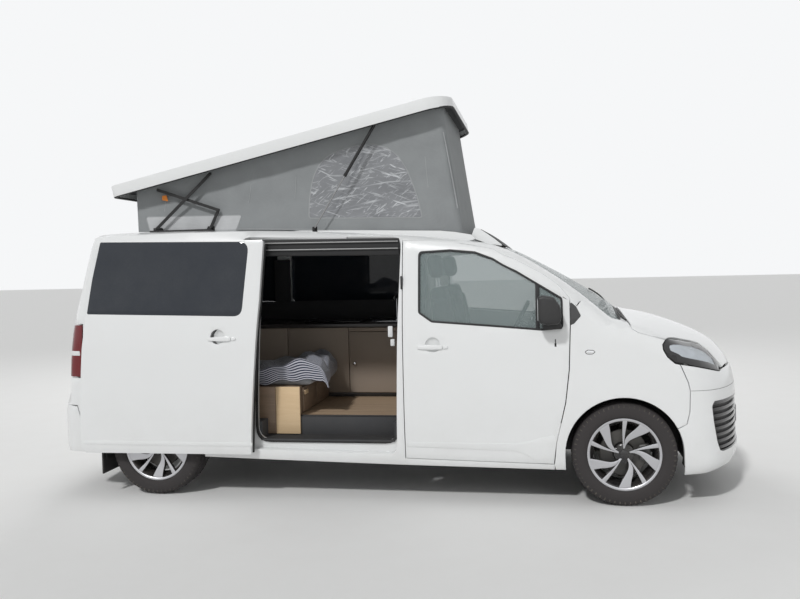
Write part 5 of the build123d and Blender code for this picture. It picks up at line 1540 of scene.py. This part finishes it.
# The side wall's edges: X, then Z
TENT_LOWER_EDGE = (-1900, -1050, 560), (1900, 1885, 1810)
TENT_UPPER_EDGE = (-1907, 490), (2250, 2770)
# The tent from above, as shares of its length and half its width
TENT_LOOP = [
    (0, -1), (0.965, -1), (0.99, -0.985), (1, -0.93), (1, 0.93), (0.99, 0.985), (0.965, 1), (0, 1), (0, -1),
]
FILM_EDGE = [
    (-520, 2290), (-440, 2400), (-286, 2456), (-67, 2486), (110, 2390), (214, 2130), (250, 1970), (252, 1952),
    (230, 1950), (-150, 1962), (-540, 1972), (-562, 1974), (-563, 2000), (-558, 2140),
]
VENT_EDGE = [(-1822, 2016), (-1080, 2006), (-1122, 1903), (-1795, 1914)]
# Seams of the side wall, with their widths
TENT_SEAMS = (
    ([(-1700, 1915), (-1640, 2290)], 5), ([(-1060, 1893), (-960, 2440)], 5),
    ([(-690, 1883), (-640, 2505)], 5), ([(330, 1828), (262, 2700)], 5),
    ([(-1860, 1925), (-800, 1900), (530, 1836)], 8), ([(535, 1850), (470, 2260), (392, 2700)], 7),
)
TENT_REAR = -1888
TENT_FOOT = 2440
TENT_FOOT_HALF = 620
TENT_TOP_START = 160  # along the raised roof, from its rear edge
TENT_TOP = LID_LENGTH - 240
TENT_TOP_DEPTH = 50


def on_lid(along, up):
    """X and Z of a place on the raised roof."""
    sine, cosine = math.sin(LID_SLOPE), math.cos(LID_SLOPE)
    return LID_REAR[0] + along * cosine - up * sine, LID_REAR[1] + along * sine + up * cosine


def lid_outline(inward=0):
    """The raised roof from above, with wide corners at the front."""
    half, end, rear = LID_HALF - inward, LID_LENGTH - 1 - inward, 1 + inward
    outline = []
    for x, y, radius, start in ((end, half, LID_FRONT_ROUND, 90), (end, -half, LID_FRONT_ROUND, 0),
                                (rear, -half, LID_REAR_ROUND, -90), (rear, half, LID_REAR_ROUND, -180)):
        centre = (x - math.copysign(radius, x - LID_LENGTH / 2), y - math.copysign(radius, y))
        outline += arc(centre, radius, start, start - 90, 8)
    return outline


class VAN_OT_lid(bpy.types.Operator):
    """The raised roof, a white shell with soft ribs, dark lining and black trim, and the wind fairing"""

    bl_idname = "van.lid"
    bl_label = "Raised roof"

    def execute(self, context):
        outline = lid_outline()

        def crowned(places):
            x, y = places[:, 0], places[:, 1]
            inner = np.clip((LID_HALF - np.abs(y)) / LID_SIDE_RUN, 0, 1) * np.clip(x / LID_REAR_RUN, 0, 1)
            inner = inner * np.clip((LID_LENGTH - x) / LID_TAPER_RUN, 0, 1)
            ribs = np.clip(np.cos(y / 600 * math.pi * 5), 0, 1) ** 2 * np.clip((inner - 0.6) * 2.5, 0, 1)
            crown = LID_CROWN * (1 - (y / LID_HALF) ** 2) * np.clip(inner * 1.4, 0, 1)
            taper = LID_TAPER * np.clip((x - LID_LENGTH + LID_TAPER_RUN) / LID_TAPER_RUN, 0, 1) ** 2
            places[:, 2] = LID_DEPTH + crown - LID_RIB * ribs - taper
            return places

        shell = reshape(flat_sheet("lid_shell", [outline], 30), crowned)
        thicken(shell, LID_BLOCK)

        def squared(places):
            places[:, 2] = np.where(places[:, 2] < LID_BLOCK * 0.75, 0, places[:, 2])
            return places

        reshape(shell, squared)
        round_edges(shell, 20, 4, 60)
        bpy.ops.object.mode_set(mode="EDIT")
        bpy.ops.mesh.select_mode(type="FACE")
        bpy.ops.mesh.select_all(action="DESELECT")
        bpy.ops.object.mode_set(mode="OBJECT")
        for face in shell.data.polygons:
            face.select = face.center.z < 0.03 and face.normal.z < -0.8
        bpy.ops.object.mode_set(mode="EDIT")
        bpy.ops.mesh.delete(type="FACE")
        bpy.ops.object.mode_set(mode="OBJECT")
        thicken(shell, LID_SKIN)
        smooth_by_angle(35)
        shell.data.transform(LID_PLACE)
        dress(shell, "lid_paint", "lifting_roof", "white_paint", "lifting_roof")
        lining = flat_sheet("lid_lining", [lid_outline(20)], 120)
        reshape(lining, lambda places: places + (0, 0, 52))
        thicken(lining, 6)
        lining.data.transform(LID_PLACE)
        dress(lining, "grey_liner", "lifting_roof", "black_plastic")
        trim = flat_sheet("lid_trim", [lid_outline(2), lid_outline(22)], 200)
        reshape(trim, lambda places: places + (0, 0, 6))
        thicken(trim, 10)
        round_edges(trim, 3)
        trim.data.transform(LID_PLACE)
        dress(trim, "seal", "lifting_roof", "black_plastic")
        wedge = [(600, 1795), (630, 1872), (668, 1866), (716, 1836), (790, 1784), (860, 1728), (730, 1748)]
        under = [(x + 11, z - 3) for x, z in wedge[2:]]
        half = FAIRING_HALF - 8
        under = upright("fairing_seal", [under], -half, 2 * half, edge=1, pitch=100)
        reshape(under, fairing_form)
        dress(under, "seal", "root", "black_plastic")
        half = FAIRING_HALF
        fairing = upright("fairing", [rounded(wedge, 8)], -half, 2 * half, edge=6, pitch=100)
        reshape(fairing, fairing_form)
        dress(fairing, "paint", "root", "white_paint", "roof_fairing")
        return {"FINISHED"}


def fairing_form(places):
    """Round the wind fairing's ends back and down."""
    x, y, z = places.T
    share = ramp(np.abs(y), 380, 240) ** 2
    rear, front = FAIRING_ENDS
    floor = np.interp(x, (rear, front), FAIRING_FLOOR)
    back = share * (x - rear) * FAIRING_BOW
    return np.stack([x - back, y, floor + (z - floor) * (1 - FAIRING_BOW * share) + 2], 1)


def roof_heights(x, y):
    """Height of the roof skin at many places."""
    return find_skin(*top_rays(np.stack([x, y], 1)), 0)[:, 2]


def cloth_sag(x, z):
    """How far the tent's side wall hangs in, with its drawn folds."""
    low = np.interp(x, *TENT_LOWER_EDGE)
    high = np.interp(x, *TENT_UPPER_EDGE)
    share = np.clip((z - low) / (high - low), 0, 1)
    run = ramp(x, -1890, TENT_LENGTH)
    arch = np.sin(math.pi * share)
    belly = TENT_BELLY * arch * np.sin(math.pi * run) ** 0.6
    pull = TENT_PULL * np.sin((x * 0.72 + z * 1.25) / 58) * arch * (run > 0.02)
    soft = TENT_SOFT * np.sin(x / 170 + 1.3) * np.sin(z / 130)
    return belly + pull + soft * arch


def cloth_side(x, z, out):
    """Places on the right-hand tent wall, lifted out from the cloth."""
    return np.stack([x, -(TENT_HALF - cloth_sag(x, z) + out), z], 1)


def patch(name, outline, out, thickness, pitch=28):
    """A piece sewn on the tent's side wall, given by X and Z."""
    obj = flat_sheet(name, [outline], pitch)
    reshape(obj, lambda places: cloth_side(places[:, 0], places[:, 1], out))
    thicken(obj, thickness)
    smooth_by_angle(40)
    return obj


def folds_with_roof(obj):
    """Give a piece its own copy of its mesh."""
    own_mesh(obj)


def seam_strip(name, path, width):
    """A sewn seam along points of the side wall."""
    line = smooth_curve(path, closed=False, rounds=2)
    along = np.gradient(line, axis=0)
    normal = np.stack([-along[:, 1], along[:, 0]], 1) / np.hypot(*along.T)[:, None] * width / 2
    outline = [tuple(point) for point in line + normal] + [tuple(point) for point in (line - normal)[::-1]]
    return patch(name, outline, 1.6, 1.6, pitch=60)


class VAN_OT_tent(bpy.types.Operator):
    """The tent wall with its film windows, vents and seams"""

    bl_idname = "van.tent"
    bl_label = "Tent"

    def execute(self, context):
        bpy.ops.object.select_all(action="DESELECT")
        bpy.ops.mesh.primitive_grid_add(x_subdivisions=260, y_subdivisions=26, size=1)
        wall = context.object
        wall.name = "tent_cloth"
        loop = np.array(TENT_LOOP, float)
        scale = np.array([TENT_LENGTH, TENT_HALF])
        run = np.concatenate([[0], np.cumsum(np.hypot(*((loop[1:] - loop[:-1]) * scale).T))])

        def wrapped(places):
            share = (places[:, 0] / 1000 + 0.5) * run[-1]
            height = places[:, 1] / 1000 + 0.5
            along, across = (np.interp(share, run, loop[:, column]) for column in (0, 1))
            low_x = TENT_REAR + along * TENT_FOOT
            low_z = roof_heights(low_x, across * TENT_FOOT_HALF) + 3
            high_x, high_z = on_lid(TENT_TOP_START + along * TENT_TOP, TENT_TOP_DEPTH)
            x = low_x + (high_x - low_x) * height
            z = low_z + (high_z - low_z) * height
            side = np.abs(across) > 0.999
            sag = cloth_sag(x, z)
            end = TENT_END_BELLY * np.sin(math.pi * height) * np.sin(math.pi * (across + 1) / 2)
            y = across * TENT_HALF - np.sign(across) * np.where(side, sag, 0)
            x = x - np.where(side, 0, np.where(along > 0.5, end, -end))
            return np.stack([x, y, z], 1)

        reshape(wall, wrapped)
        edit_mesh(wall, (bpy.ops.mesh.remove_doubles, {"threshold": 0.0005}),
                  (bpy.ops.mesh.normals_make_consistent, {"inside": False}))
        smooth_by_angle(50)
        dress(wall, "tent_cloth", "root", "tent_fabric", "tent")
        if wall.data.polygons[10].normal.y > 0 and wall.data.polygons[10].center.y < 0:
            wall.data.flip_normals()
        film = [tuple(point) for point in smooth_curve(FILM_EDGE)]
        pieces = []
        for name, outline, finish, slot in (
            ("film_window", film, "film", "clear_glass"),
            ("vent_strip", rounded(VENT_EDGE, 12), "vent_mesh", "tent_fabric"),
        ):
            pieces.append((patch(name, outline, 2.4, 1.2, 16), name, finish, slot))
            border = rounded(inset(outline[::4], -9), 20)
            hem = patch(f"{name}_hem", border, 1.2, 1.2)
            pieces.append((hem, f"{name}_hem", "tent_hem", "tent_fabric"))
        seams = [seam_strip("seam", path, width) for path, width in TENT_SEAMS]
        pieces.append((join("tent_seams", seams), "tent_seams", "tent_hem", "tent_fabric"))
        made = []
        for obj, name, finish, slot in pieces:
            made += pair(obj, name, finish, slot)
        for piece in [wall, *made]:
            folds_with_roof(piece)
        return {"FINISHED"}


# The gas strut's foot and direction, X and Z, and its place across the van
STRUT_FOOT = np.array([-509.0, 1888.0])
STRUT_AHEAD = np.array([0.5386, 0.8426])
STRUT_SIDE = -712
# Pins of the lifting arms: X, Z, Y and radius
LIFT_PINS = (
    ("pin_front", -1311, 1918, -664, 11), ("pin_rear", -1730, 1918, -690, 11),
    ("pin_strut", -509, 1888, -722, 10),
)


class VAN_OT_lift_gear(bpy.types.Operator):
    """Gas struts, pins, blocks and tags of the roof's lifting arms"""

    bl_idname = "van.lift_gear"
    bl_label = "Lifting arms"

    def execute(self, context):
        for name, x, z, y, radius in LIFT_PINS:
            pin = [(0.01, -5), (radius * 0.7, -5), (radius, -2.5), (radius, 3), (0.01, 3)]
            pin = lathe(name, pin, 20)
            pin.data.transform(Matrix.Translation((x * MM, y * MM, z * MM)))
            pair(pin, name, "black_steel", "grey_steel")

        def strut_bar(name, first, last, radius):
            ends = [STRUT_FOOT + STRUT_AHEAD * run for run in (first, last)]
            return tube(name, [(end[0], STRUT_SIDE, end[1]) for end in ends], radius, False)

        for name, first, last, radius, finish, slot, node in (
            ("strut_rod", 0, 500, 5, "worn_steel", "bright_rod", "strut_cylinders"),
            ("strut_tube", 436, 862, 11, "black_steel", "black_steel", "strut_rods"),
        ):
            rod = strut_bar(name, first, last, radius)
            if name == "strut_tube":
                rod = join(name, [rod, strut_bar("collar", first - 6, first + 16, radius + 1.5)])
            pair(rod, name, finish, slot, (node, node), (node, node))
        support = block("rail_block", (-1765, -712, 1893), (-1290, -668, 1912), 4)
        pair(support, "rail_block", "seal", "black_plastic")
        tag = rounded([(-1688, 2138), (-1640, 2128), (-1652, 2174), (-1686, 2170)], 6)
        tag = upright("tag", [tag], -650, 1.5, 0.4)
        pair(tag, "orange_tag", "orange_tag", "black_plastic")
        for piece in ("orange_tag_right", "orange_tag_left"):
            folds_with_roof(bpy.data.objects[piece])
        rail = tube("rail_lip", [(-1760, -690, 1905), (-1300, -690, 1901)], 4, False)
        pair(rail, "rail_lip", "black_steel", "black_steel")
        return {"FINISHED"}


PAD_STIFFNESS = 40
PAD_MASS = 0.35


def puff(obj, voxel=11, cap=14, pressure=4.0, moments=20):
    only(obj)
    obj.data.remesh_voxel_size = voxel * MM
    bpy.ops.object.voxel_remesh()
    count = len(obj.data.vertices)
    before = np.empty(count * 3)
    obj.data.vertices.foreach_get("co", before)
    modifier = obj.modifiers.new("Cloth", "CLOTH")
    modifier.settings.use_pressure = True
    modifier.settings.uniform_pressure_force = pressure
    modifier.settings.effector_weights.gravity = 0
    modifier.settings.tension_stiffness = PAD_STIFFNESS
    modifier.settings.mass = PAD_MASS
    for moment in range(1, moments + 1):
        bpy.context.scene.frame_set(moment)
    shown = obj.evaluated_get(bpy.context.evaluated_depsgraph_get())
    after = np.empty(count * 3)
    shown.data.vertices.foreach_get("co", after)
    obj.modifiers.remove(modifier)
    bpy.context.scene.frame_set(1)
    move = (after - before).reshape(-1, 3)
    length = np.linalg.norm(move, axis=1, keepdims=True)
    move *= np.minimum(1, cap * MM / np.maximum(length, 1e-9))
    obj.data.vertices.foreach_set("co", (before.reshape(-1, 3) + move).ravel())
    obj.data.update()
    apply_modifier(obj, "SMOOTH", iterations=4, factor=0.5)
    bpy.ops.object.shade_smooth()
    return obj


SEAT_MIDDLE = 440
BOLSTER = 205
BACKREST_LEAN = 8
BACKREST_FOOT = (0.425, 0, 0.86)  # metres


def seat(side, word):
    """One front seat: cushion, back and headrest, with their side bolsters."""
    middle = side * SEAT_MIDDLE
    base = block("seat_base", (420, middle - 190, 548), (820, middle + 190, 700), 14)
    shell = block("seat_pan", (385, middle - 235, 690), (870, middle + 235, 768), 30, 4)
    plinth = join(f"seat_base_{word}", [base, shell])
    dress(plinth, "plastic", "root", "black_plastic")
    bolsters = (middle - BOLSTER, middle + BOLSTER)
    cushion = [block("pad", (392, middle - 170, 772), (880, middle + 170, 872), 36, 4)]
    cushion += [block("pad", (392, y - 42, 770), (870, y + 42, 896), 34, 4) for y in bolsters]
    cushion = puff(join(f"seat_cushion_{word}", cushion))
    back = [block("pad", (-50, middle - 165, 0), (46, middle + 165, 610), 34, 4)]
    back += [block("pad", (-44, y - 40, 20), (72, y + 40, 520), 34, 4) for y in bolsters]
    back = puff(join(f"seat_back_{word}", back))
    head = puff(block(f"headrest_{word}", (-46, middle - 125, 664), (50, middle + 125, 830), 40, 4))
    lean = Matrix.Translation(BACKREST_FOOT) @ Matrix.Rotation(math.radians(-BACKREST_LEAN), 4, "Y")
    posts = [tube("post", [(0, y, 590), (0, y, 700)], 6, False) for y in (middle - 60, middle + 60)]
    posts = join(f"headrest_posts_{word}", posts)
    for piece in (back, head, posts):
        piece.data.transform(lean)
    dress(posts, "bright_steel", "root", "grey_steel")
    for piece in (cushion, back, head):
        dress(piece, "seat_cloth", "root", "seat_fabric", "front_seats")


class VAN_OT_cabin(bpy.types.Operator):
    """Front seats, dashboard details and the belt fittings by the doorway"""

    bl_idname = "van.cabin"
    bl_label = "Cabin"

    def execute(self, context):
        for word, side in SIDES.items():
            seat(side, word)
        visor = rounded([(1010, 1150), (1000, 1230), (1090, 1262), (1200, 1226), (1220, 1150)], 26)
        visor = upright("dash_hood", [visor], 250, -320, edge=0)
        round_edges(visor, 12, 3, 40)
        dress(visor, "plastic", "root", "black_plastic")
        screen = rounded([(990, 1030), (984, 1180), (1010, 1184), (1016, 1030)], 8)
        screen = upright("dash_screen", [screen], -120, 240, 4)
        dress(screen, "gloss_black", "root", "black_plastic")
        buckle = block("belt_guide", (36, -872, 1122), (70, -850, 1198), 6)
        clip = block("belt_clip", (52, -870, 1060), (82, -850, 1108), 6)
        dress(join("belt_fittings", [buckle, clip]), "plate", "root", "black_plastic")
        return {"FINISHED"}


KITCHEN_FRONT = 122
WORKTOP_BASE = 1120
# Doors and drawers: X from and to, Z from and to
KITCHEN_DOORS = (
    (-475, 36, 592, 1082), (-475, 36, 1088, 1116), (-990, -481, 592, 1116), (-1505, -996, 592, 850),
    (-1505, -996, 856, 1116), (-1996, -1511, 592, 1116),
)
LINING_BOARDS = ((-2040, 60, 1152, 1316), (-1316, -1166, 1316, 1690), (30, 66, 1316, 1690))
PLANK_PITCH = 110
KNOB_PROFILE = [(0.01, -22), (8, -21), (13, -16), (12, -10), (6, -6), (6, 2), (0.01, 2)]


class VAN_OT_kitchen(bpy.types.Operator):
    """Kitchen cabinet with doors, knobs, worktop, sink and tap; floor boards and wall panels"""

    bl_idname = "van.kitchen"
    bl_label = "Kitchen"

    def execute(self, context):
        front, top = KITCHEN_FRONT, WORKTOP_BASE
        root_blocks(
            ("kitchen_carcass", (-2000, front + 20, 585), (40, 812, top), 3, "taupe_board", "taupe_board",
             "kitchen_cabinet"),
            ("kitchen_plinth", (-1990, front + 45, 549), (30, 800, 588), 2, "dark_board", "taupe_board"))
        fronts = [block("front", (first, front, low), (last, front + 18, high), 2.2)
                  for first, last, low, high in KITCHEN_DOORS]
        dress(join("kitchen_fronts", fronts), "taupe_board", "root", "taupe_board")
        knobs = []
        for x, z in ((-430, 826), (-940, 826), (-1250, 740), (-1250, 1000), (-1560, 826)):
            knob = lathe("knob", KNOB_PROFILE, 24)
            knob.data.transform(Matrix.Translation((x * MM, front * MM, z * MM)))
            knobs.append(knob)
        dress(join("kitchen_knobs", knobs), "bright_steel", "root", "grey_steel")
        slab = block("kitchen_worktop", (-2000, 120, top), (40, 826, top + 30), 5, 3)
        dress(slab, "dark_board", "root", "taupe_board")
        lid = block("cooker_lid", (-900, 300, top + 31), (-420, 700, top + 40), 4, 3)
        dress(lid, "gloss_black", "root", "black_plastic")
        bowl = block("sink_rim", (-330, 320, top + 30), (-20, 680, top + 36), 2.8)
        dress(bowl, "bright_steel", "root", "grey_steel")
        tap = [(-180, y, top + up) for y, up in ((720, 25), (720, 190), (700, 235), (600, 235), (560, 200))]
        dress(tube("kitchen_tap", tap, 11), "bright_steel", "root", "grey_steel")
        lining = [block("lining", (first, 800, low), (last, 806, high), 2)
                  for first, last, low, high in LINING_BOARDS]
        dress(join("far_lining", lining), "grey_liner", "root", "taupe_board")
        boards = []
        for low in range(-714, 826, PLANK_PITCH):
            high = min(low + PLANK_PITCH - 1.5, 824)
            boards.append(block("plank", (-2278, low, 536), (68, high, 549), 1.5, 1))
        dress(join("floor_planks", boards), "oak", "root", "oak_floor", "wood_floor")
        return {"FINISHED"}


# The striped cover: its grid's run and width, where it starts, and how much of it hangs over the side
COVER_LENGTH = 900
COVER_WIDTH = 960
COVER_REAR = -1060
COVER_SIDE = -704
COVER_HANG = 130


class VAN_OT_bed(bpy.types.Operator):
    """Bench with its drawers and boards, mattress and the striped cover"""

    bl_idname = "van.bed"
    bl_label = "Bed"

    def execute(self, context):
        root_blocks(
            ("bench_body", (-2050, -680, 549), (-662, 98, 758), 3, "brown_board", "birch_board", "bench_box"))
        drawers = [block("drawer", (-661, low, 566), (-642, high, 742), 3)
                   for low, high in ((-640, -290), (-280, 84))]
        dress(join("bench_drawers", drawers), "brown_board", "root", "birch_board")
        root_blocks(
            ("drawer_pull", (-641, -640, 690), (-628, -560, 722), 4, "birch", "birch_board"),
            ("bench_end_board", (-818, -757, 424), (-638, -741, 762), 3, "birch", "birch_board"))
        side = join("bench_side_board", [block("filler", (-812, -741, 552), (-644, -682, 756), 3),
                                         block("panel", (-1000, -755, 424), (-820, -741, 760), 3)])
        dress(side, "brown_board", "root", "birch_board")
        pad = block("mattress_pad", (-2040, -690, 764), (-560, 92, 864), 30, 4)
        pad = puff(pad, 16, 12)
        dress(pad, "mattress_cloth", "root", "striped_fabric", "mattress")
        bpy.ops.object.select_all(action="DESELECT")
        bpy.ops.mesh.primitive_grid_add(x_subdivisions=110, y_subdivisions=90, size=1)
        cover = context.object
        cover.name = "striped_cover"

        def draped(places):
            u, v = places[:, 0] / 1000 + 0.5, places[:, 1] / 1000 + 0.5
            run, across = u * COVER_LENGTH, v * COVER_WIDTH
            over = 60 * np.sin(np.clip((run - 560) / 120, 0, math.pi / 2))
            x = np.where(run < 560, COVER_REAR + run, COVER_REAR + 560 + over)
            x = x - v * 140 * ramp(run, 100, 400)
            drop = np.clip(run - 600, 0, 400) * 0.34
            y = np.where(across < COVER_HANG, COVER_SIDE, COVER_SIDE + (across - COVER_HANG) * 0.94)
            hang = np.clip(COVER_HANG - across, 0, COVER_HANG) * 0.85
            bunch = 50 * np.exp(-((run - 440) / 190) ** 2)
            folds = 17 * np.sin(across / 46 + 1.9 * np.sin(run / 90)) * ramp(run, 180, 260)
            folds = folds + 10 * np.sin(run / 34 + across / 80)
            lowest = 756 + 4 * np.sin(across / 30 + run / 60)
            z = np.maximum(880 + bunch + folds * np.exp(-drop / 260) - hang - drop, lowest)
            x = x + 9 * np.sin(across / 47) * ramp(run, 540, 100)
            y = y + 7 * np.sin(run / 41) * np.clip((140 - across) / 60, 0, 1)
            return np.stack([x, y, z], 1)

        reshape(cover, draped)
        if sum(face.normal.z for face in cover.data.polygons) < 0:
            cover.data.flip_normals()
        thicken(cover, 4, 1)
        bpy.ops.object.shade_smooth()
        dress(cover, "striped_cloth", "root", "striped_fabric")
        return {"FINISHED"}


class VAN_OT_doorway(bpy.types.Operator):
    """Tracks, step and trims of the side doorway"""

    bl_idname = "van.doorway"
    bl_label = "Doorway"

    def execute(self, context):
        header = [(-960, 1700), (124, 1682), (124, 1800), (-960, 1816)]
        header = upright("doorway_header", [header], -842, 30, 6)
        dress(header, "seal", "root", "black_plastic")
        strips = [upright("strip", [[(-950, z), (118, z - 12), (118, z - 4), (-950, z + 8)]], -856, 12, 2)
                  for z in (1786, 1738)]
        dress(join("track_strips", strips), "worn_steel", "root", "grey_steel")
        root_blocks(("step_tread", (-885, -905, 404), (74, -735, 416), 5, "grey_liner", "black_plastic"))
        ribs = [block("rib", (-860, y, 415), (50, y + 9, 420), 2, 1) for y in range(-890, -745, 24)]
        dress(join("step_ribs", ribs), "seal", "root", "black_plastic")
        root_blocks(("step_riser", (-885, -737, 410), (74, -728, 546), 3, "grey_liner", "black_plastic"))
        nosing = tube("step_nosing", [(-880, -716, 548), (70, -716, 548)], 8, False)
        dress(nosing, "seal", "root", "black_plastic")
        root_blocks(("door_striker", (139, -918, 1450), (152, -892, 1540), 5, "plastic", "black_plastic"))
        return {"FINISHED"}


class VAN_OT_underside(bpy.types.Operator):
    """Wheel-arch liners and mud flaps"""

    bl_idname = "van.underside"
    bl_label = "Underside"

    def execute(self, context):
        for name, axle, low, high in (("front", FRONT_AXLE, -936, -772), ("rear", REAR_AXLE, -930, -690)):
            bpy.ops.object.select_all(action="DESELECT")
            bpy.ops.mesh.primitive_cylinder_add(
                vertices=72, radius=LINER_RADIUS * MM, depth=(high - low) * MM, end_fill_type="NOTHING",
                location=(axle[0] * MM, (low + high) / 2 * MM, axle[1] * MM), rotation=(math.pi / 2, 0, 0))
            band = context.object
            bpy.ops.object.transform_apply(location=True, rotation=True)
            base = {"plane_co": (0, 0, LINER_BASE * MM), "plane_no": (0, 0, 1), "clear_inner": True}
            edit_mesh(band, (bpy.ops.mesh.bisect, base))
            for vertex in band.data.vertices:
                if vertex.co.y < (low + 1) * MM:
                    skin = side_point(vertex.co.x / MM, max(vertex.co.z / MM, 300))
                    vertex.co.y = max(vertex.co.y, (skin[1] + 12) * MM)
            thicken(band, 6, 1)
            smooth_by_angle(35)
            pair(band, f"arch_liner_{name}", "seal", "black_plastic")
        flap = block("mud_flap", (-2090, -930, 150), (-2076, -700, 330), 4)
        pair(flap, "mud_flap", "seal", "black_plastic")
        return {"FINISHED"}


NODE_FINISHES = {
    "seal": ("bulkhead",),
    "plastic": ("dashboard", "steering_wheel", "steering_column", "fuel_tank"),
    "grey_liner": ("floor_pan",),
    "cast_iron": ("engine_block", "front_subframe", "rear_axle", "knuckle_right", "knuckle_left"),
    "steel": ("exhaust",),
    "black_steel": ("lift_rails", "long_bars", "cross_bars", "short_links"),
}


class VAN_OT_finishes(bpy.types.Operator):
    """Finishes of the parts that keep their plain form"""

    bl_idname = "van.finishes"
    bl_label = "Finishes"

    def execute(self, context):
        for finish, names in NODE_FINISHES.items():
            for name in names:
                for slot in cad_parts[name].material_slots:
                    slot.material = bpy.data.materials[finish]
        return {"FINISHED"}


# The stage, in metres: camera, lights and the backdrop's strength as it is seen and as it lights
CAMERA_PLACE = (1.1127, -6.5, 1.6019)
CAMERA_TURN = (-0.1734, -0.0389, -0.0236)
LIT_POINT = (0, 0, 1.2)
SOFT_LIGHT_SIZE = 5.0
KEY_DIRECTION = (0.33, 1.0, -0.97)
KEY_SPREAD = 5
FLOOR_SIZE = 160
FLOOR_DUST = (0.76, 0.75, 0.73)
KEY_STRENGTH = 1.6
BACKDROP_SEEN = 0.94
BACKDROP_LIGHT = 0.34


class VAN_OT_stage(bpy.types.Operator):
    """Pale floor, soft lights and the camera at the side"""

    bl_idname = "van.stage"
    bl_label = "Stage"

    def execute(self, context):
        bpy.ops.object.select_all(action="DESELECT")
        bpy.ops.mesh.primitive_grid_add(x_subdivisions=8, y_subdivisions=8, size=FLOOR_SIZE,
                                        location=(0, 0, -0.0005))
        floor = context.object
        floor.name = "studio_floor"
        bpy.ops.object.transform_apply(location=True)
        colour = context.scene.van_colours.floor
        material, tree, shader, place = start_material("studio_floor", 0.75)
        film = use_group(tree, "Dust film", place, Clean_Colour=(*colour, 1), Dust_Colour=(*FLOOR_DUST, 1),
                         Amount=0.2, Reach=5.0, Gloss=0.7)
        tree.links.new(film.outputs["Colour"], shader.inputs["Base Color"])
        floor.data.materials.append(material)
        world = bpy.data.worlds.new("studio")
        context.scene.world = world
        world.use_nodes = True
        tree = world.node_tree
        path = put(tree, "ShaderNodeLightPath")
        seen = arithmetic(tree, "MAXIMUM", path.outputs["Is Camera Ray"], path.outputs["Is Glossy Ray"])
        seen = arithmetic(tree, "MAXIMUM", seen, path.outputs["Is Transmission Ray"])
        strength = arithmetic(tree, "MULTIPLY_ADD", seen, BACKDROP_SEEN - BACKDROP_LIGHT, BACKDROP_LIGHT)
        tree.links.new(strength, tree.nodes["Background"].inputs["Strength"])
        tree.nodes["Background"].inputs["Color"].default_value = (0.98, 0.99, 1.0, 1)
        for name, place, power in (("fill", (7.0, -8.0, 4.0), 90), ("rim", (-2.0, 7.0, 7.0), 260)):
            lamp = bpy.data.lights.new(name, "AREA")
            lamp.size = SOFT_LIGHT_SIZE
            lamp.energy = power
            light = linked(name, lamp)
            light.location = place
            light.visible_glossy = False
            light.rotation_euler = (Vector(LIT_POINT) - Vector(place)).to_track_quat("-Z", "Y").to_euler()
        lamp = bpy.data.lights.new("key", "SUN")
        lamp.angle = math.radians(KEY_SPREAD)
        lamp.energy = KEY_STRENGTH
        linked("key", lamp).rotation_euler = Vector(KEY_DIRECTION).to_track_quat("-Z", "Y").to_euler()
        camera = linked("side_camera", bpy.data.cameras.new("side_camera"))
        camera.data.lens = context.scene.van_sizes.camera_lens
        camera.data.sensor_width = 36
        camera.data.clip_end = 400
        yaw, pitch, roll = CAMERA_TURN
        ahead = Vector((math.sin(yaw) * math.cos(pitch), math.cos(yaw) * math.cos(pitch), math.sin(pitch)))
        right = Vector((math.cos(yaw), -math.sin(yaw), 0))
        up = right.cross(ahead)
        turned = right * math.cos(roll) + up * math.sin(roll)
        raised = up * math.cos(roll) - right * math.sin(roll)
        facing = Matrix((turned, raised, -ahead)).transposed().to_4x4()
        camera.matrix_world = Matrix.Translation(CAMERA_PLACE) @ facing
        context.scene.camera = camera
        context.scene.view_settings.view_transform = "Standard"
        return {"FINISHED"}


OPERATORS = (
    VAN_OT_body_sides, VAN_OT_roof, VAN_OT_front_doors, VAN_OT_nose, VAN_OT_headlamps, VAN_OT_rear,
    VAN_OT_sliding_door, VAN_OT_mirrors, VAN_OT_wheels, VAN_OT_lid, VAN_OT_tent, VAN_OT_lift_gear,
    VAN_OT_cabin, VAN_OT_kitchen, VAN_OT_bed, VAN_OT_doorway, VAN_OT_underside, VAN_OT_finishes, VAN_OT_stage,
)


class VAN_PT_pieces(bpy.types.Panel):
    """Lists the van's pieces."""

    bl_idname = "VAN_PT_pieces"
    bl_label = "Camper van"
    bl_space_type = "VIEW_3D"
    bl_region_type = "UI"
    bl_category = "Camper van"

    def draw(self, context):
        for group in (context.scene.van_sizes, context.scene.van_colours):
            for name in group.__annotations__:
                self.layout.prop(group, name)
        for operator in OPERATORS:
            self.layout.operator(operator.bl_idname)


CLASSES = (VanSizes, VanColours, *OPERATORS, VAN_PT_pieces)


def register():
    for item in CLASSES:
        bpy.utils.register_class(item)
    bpy.types.Scene.van_sizes = bpy.props.PointerProperty(type=VanSizes)
    bpy.types.Scene.van_colours = bpy.props.PointerProperty(type=VanColours)


def unregister():
    del bpy.types.Scene.van_sizes
    del bpy.types.Scene.van_colours
    for item in reversed(CLASSES):
        bpy.utils.unregister_class(item)


def main():
    """Register the add-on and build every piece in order."""
    register()
    bpy.ops.object.select_all(action="DESELECT")
    build_materials()
    for operator in OPERATORS:
        getattr(bpy.ops.van, operator.bl_idname.split(".")[1])()


if __name__ == "__main__":
    main()
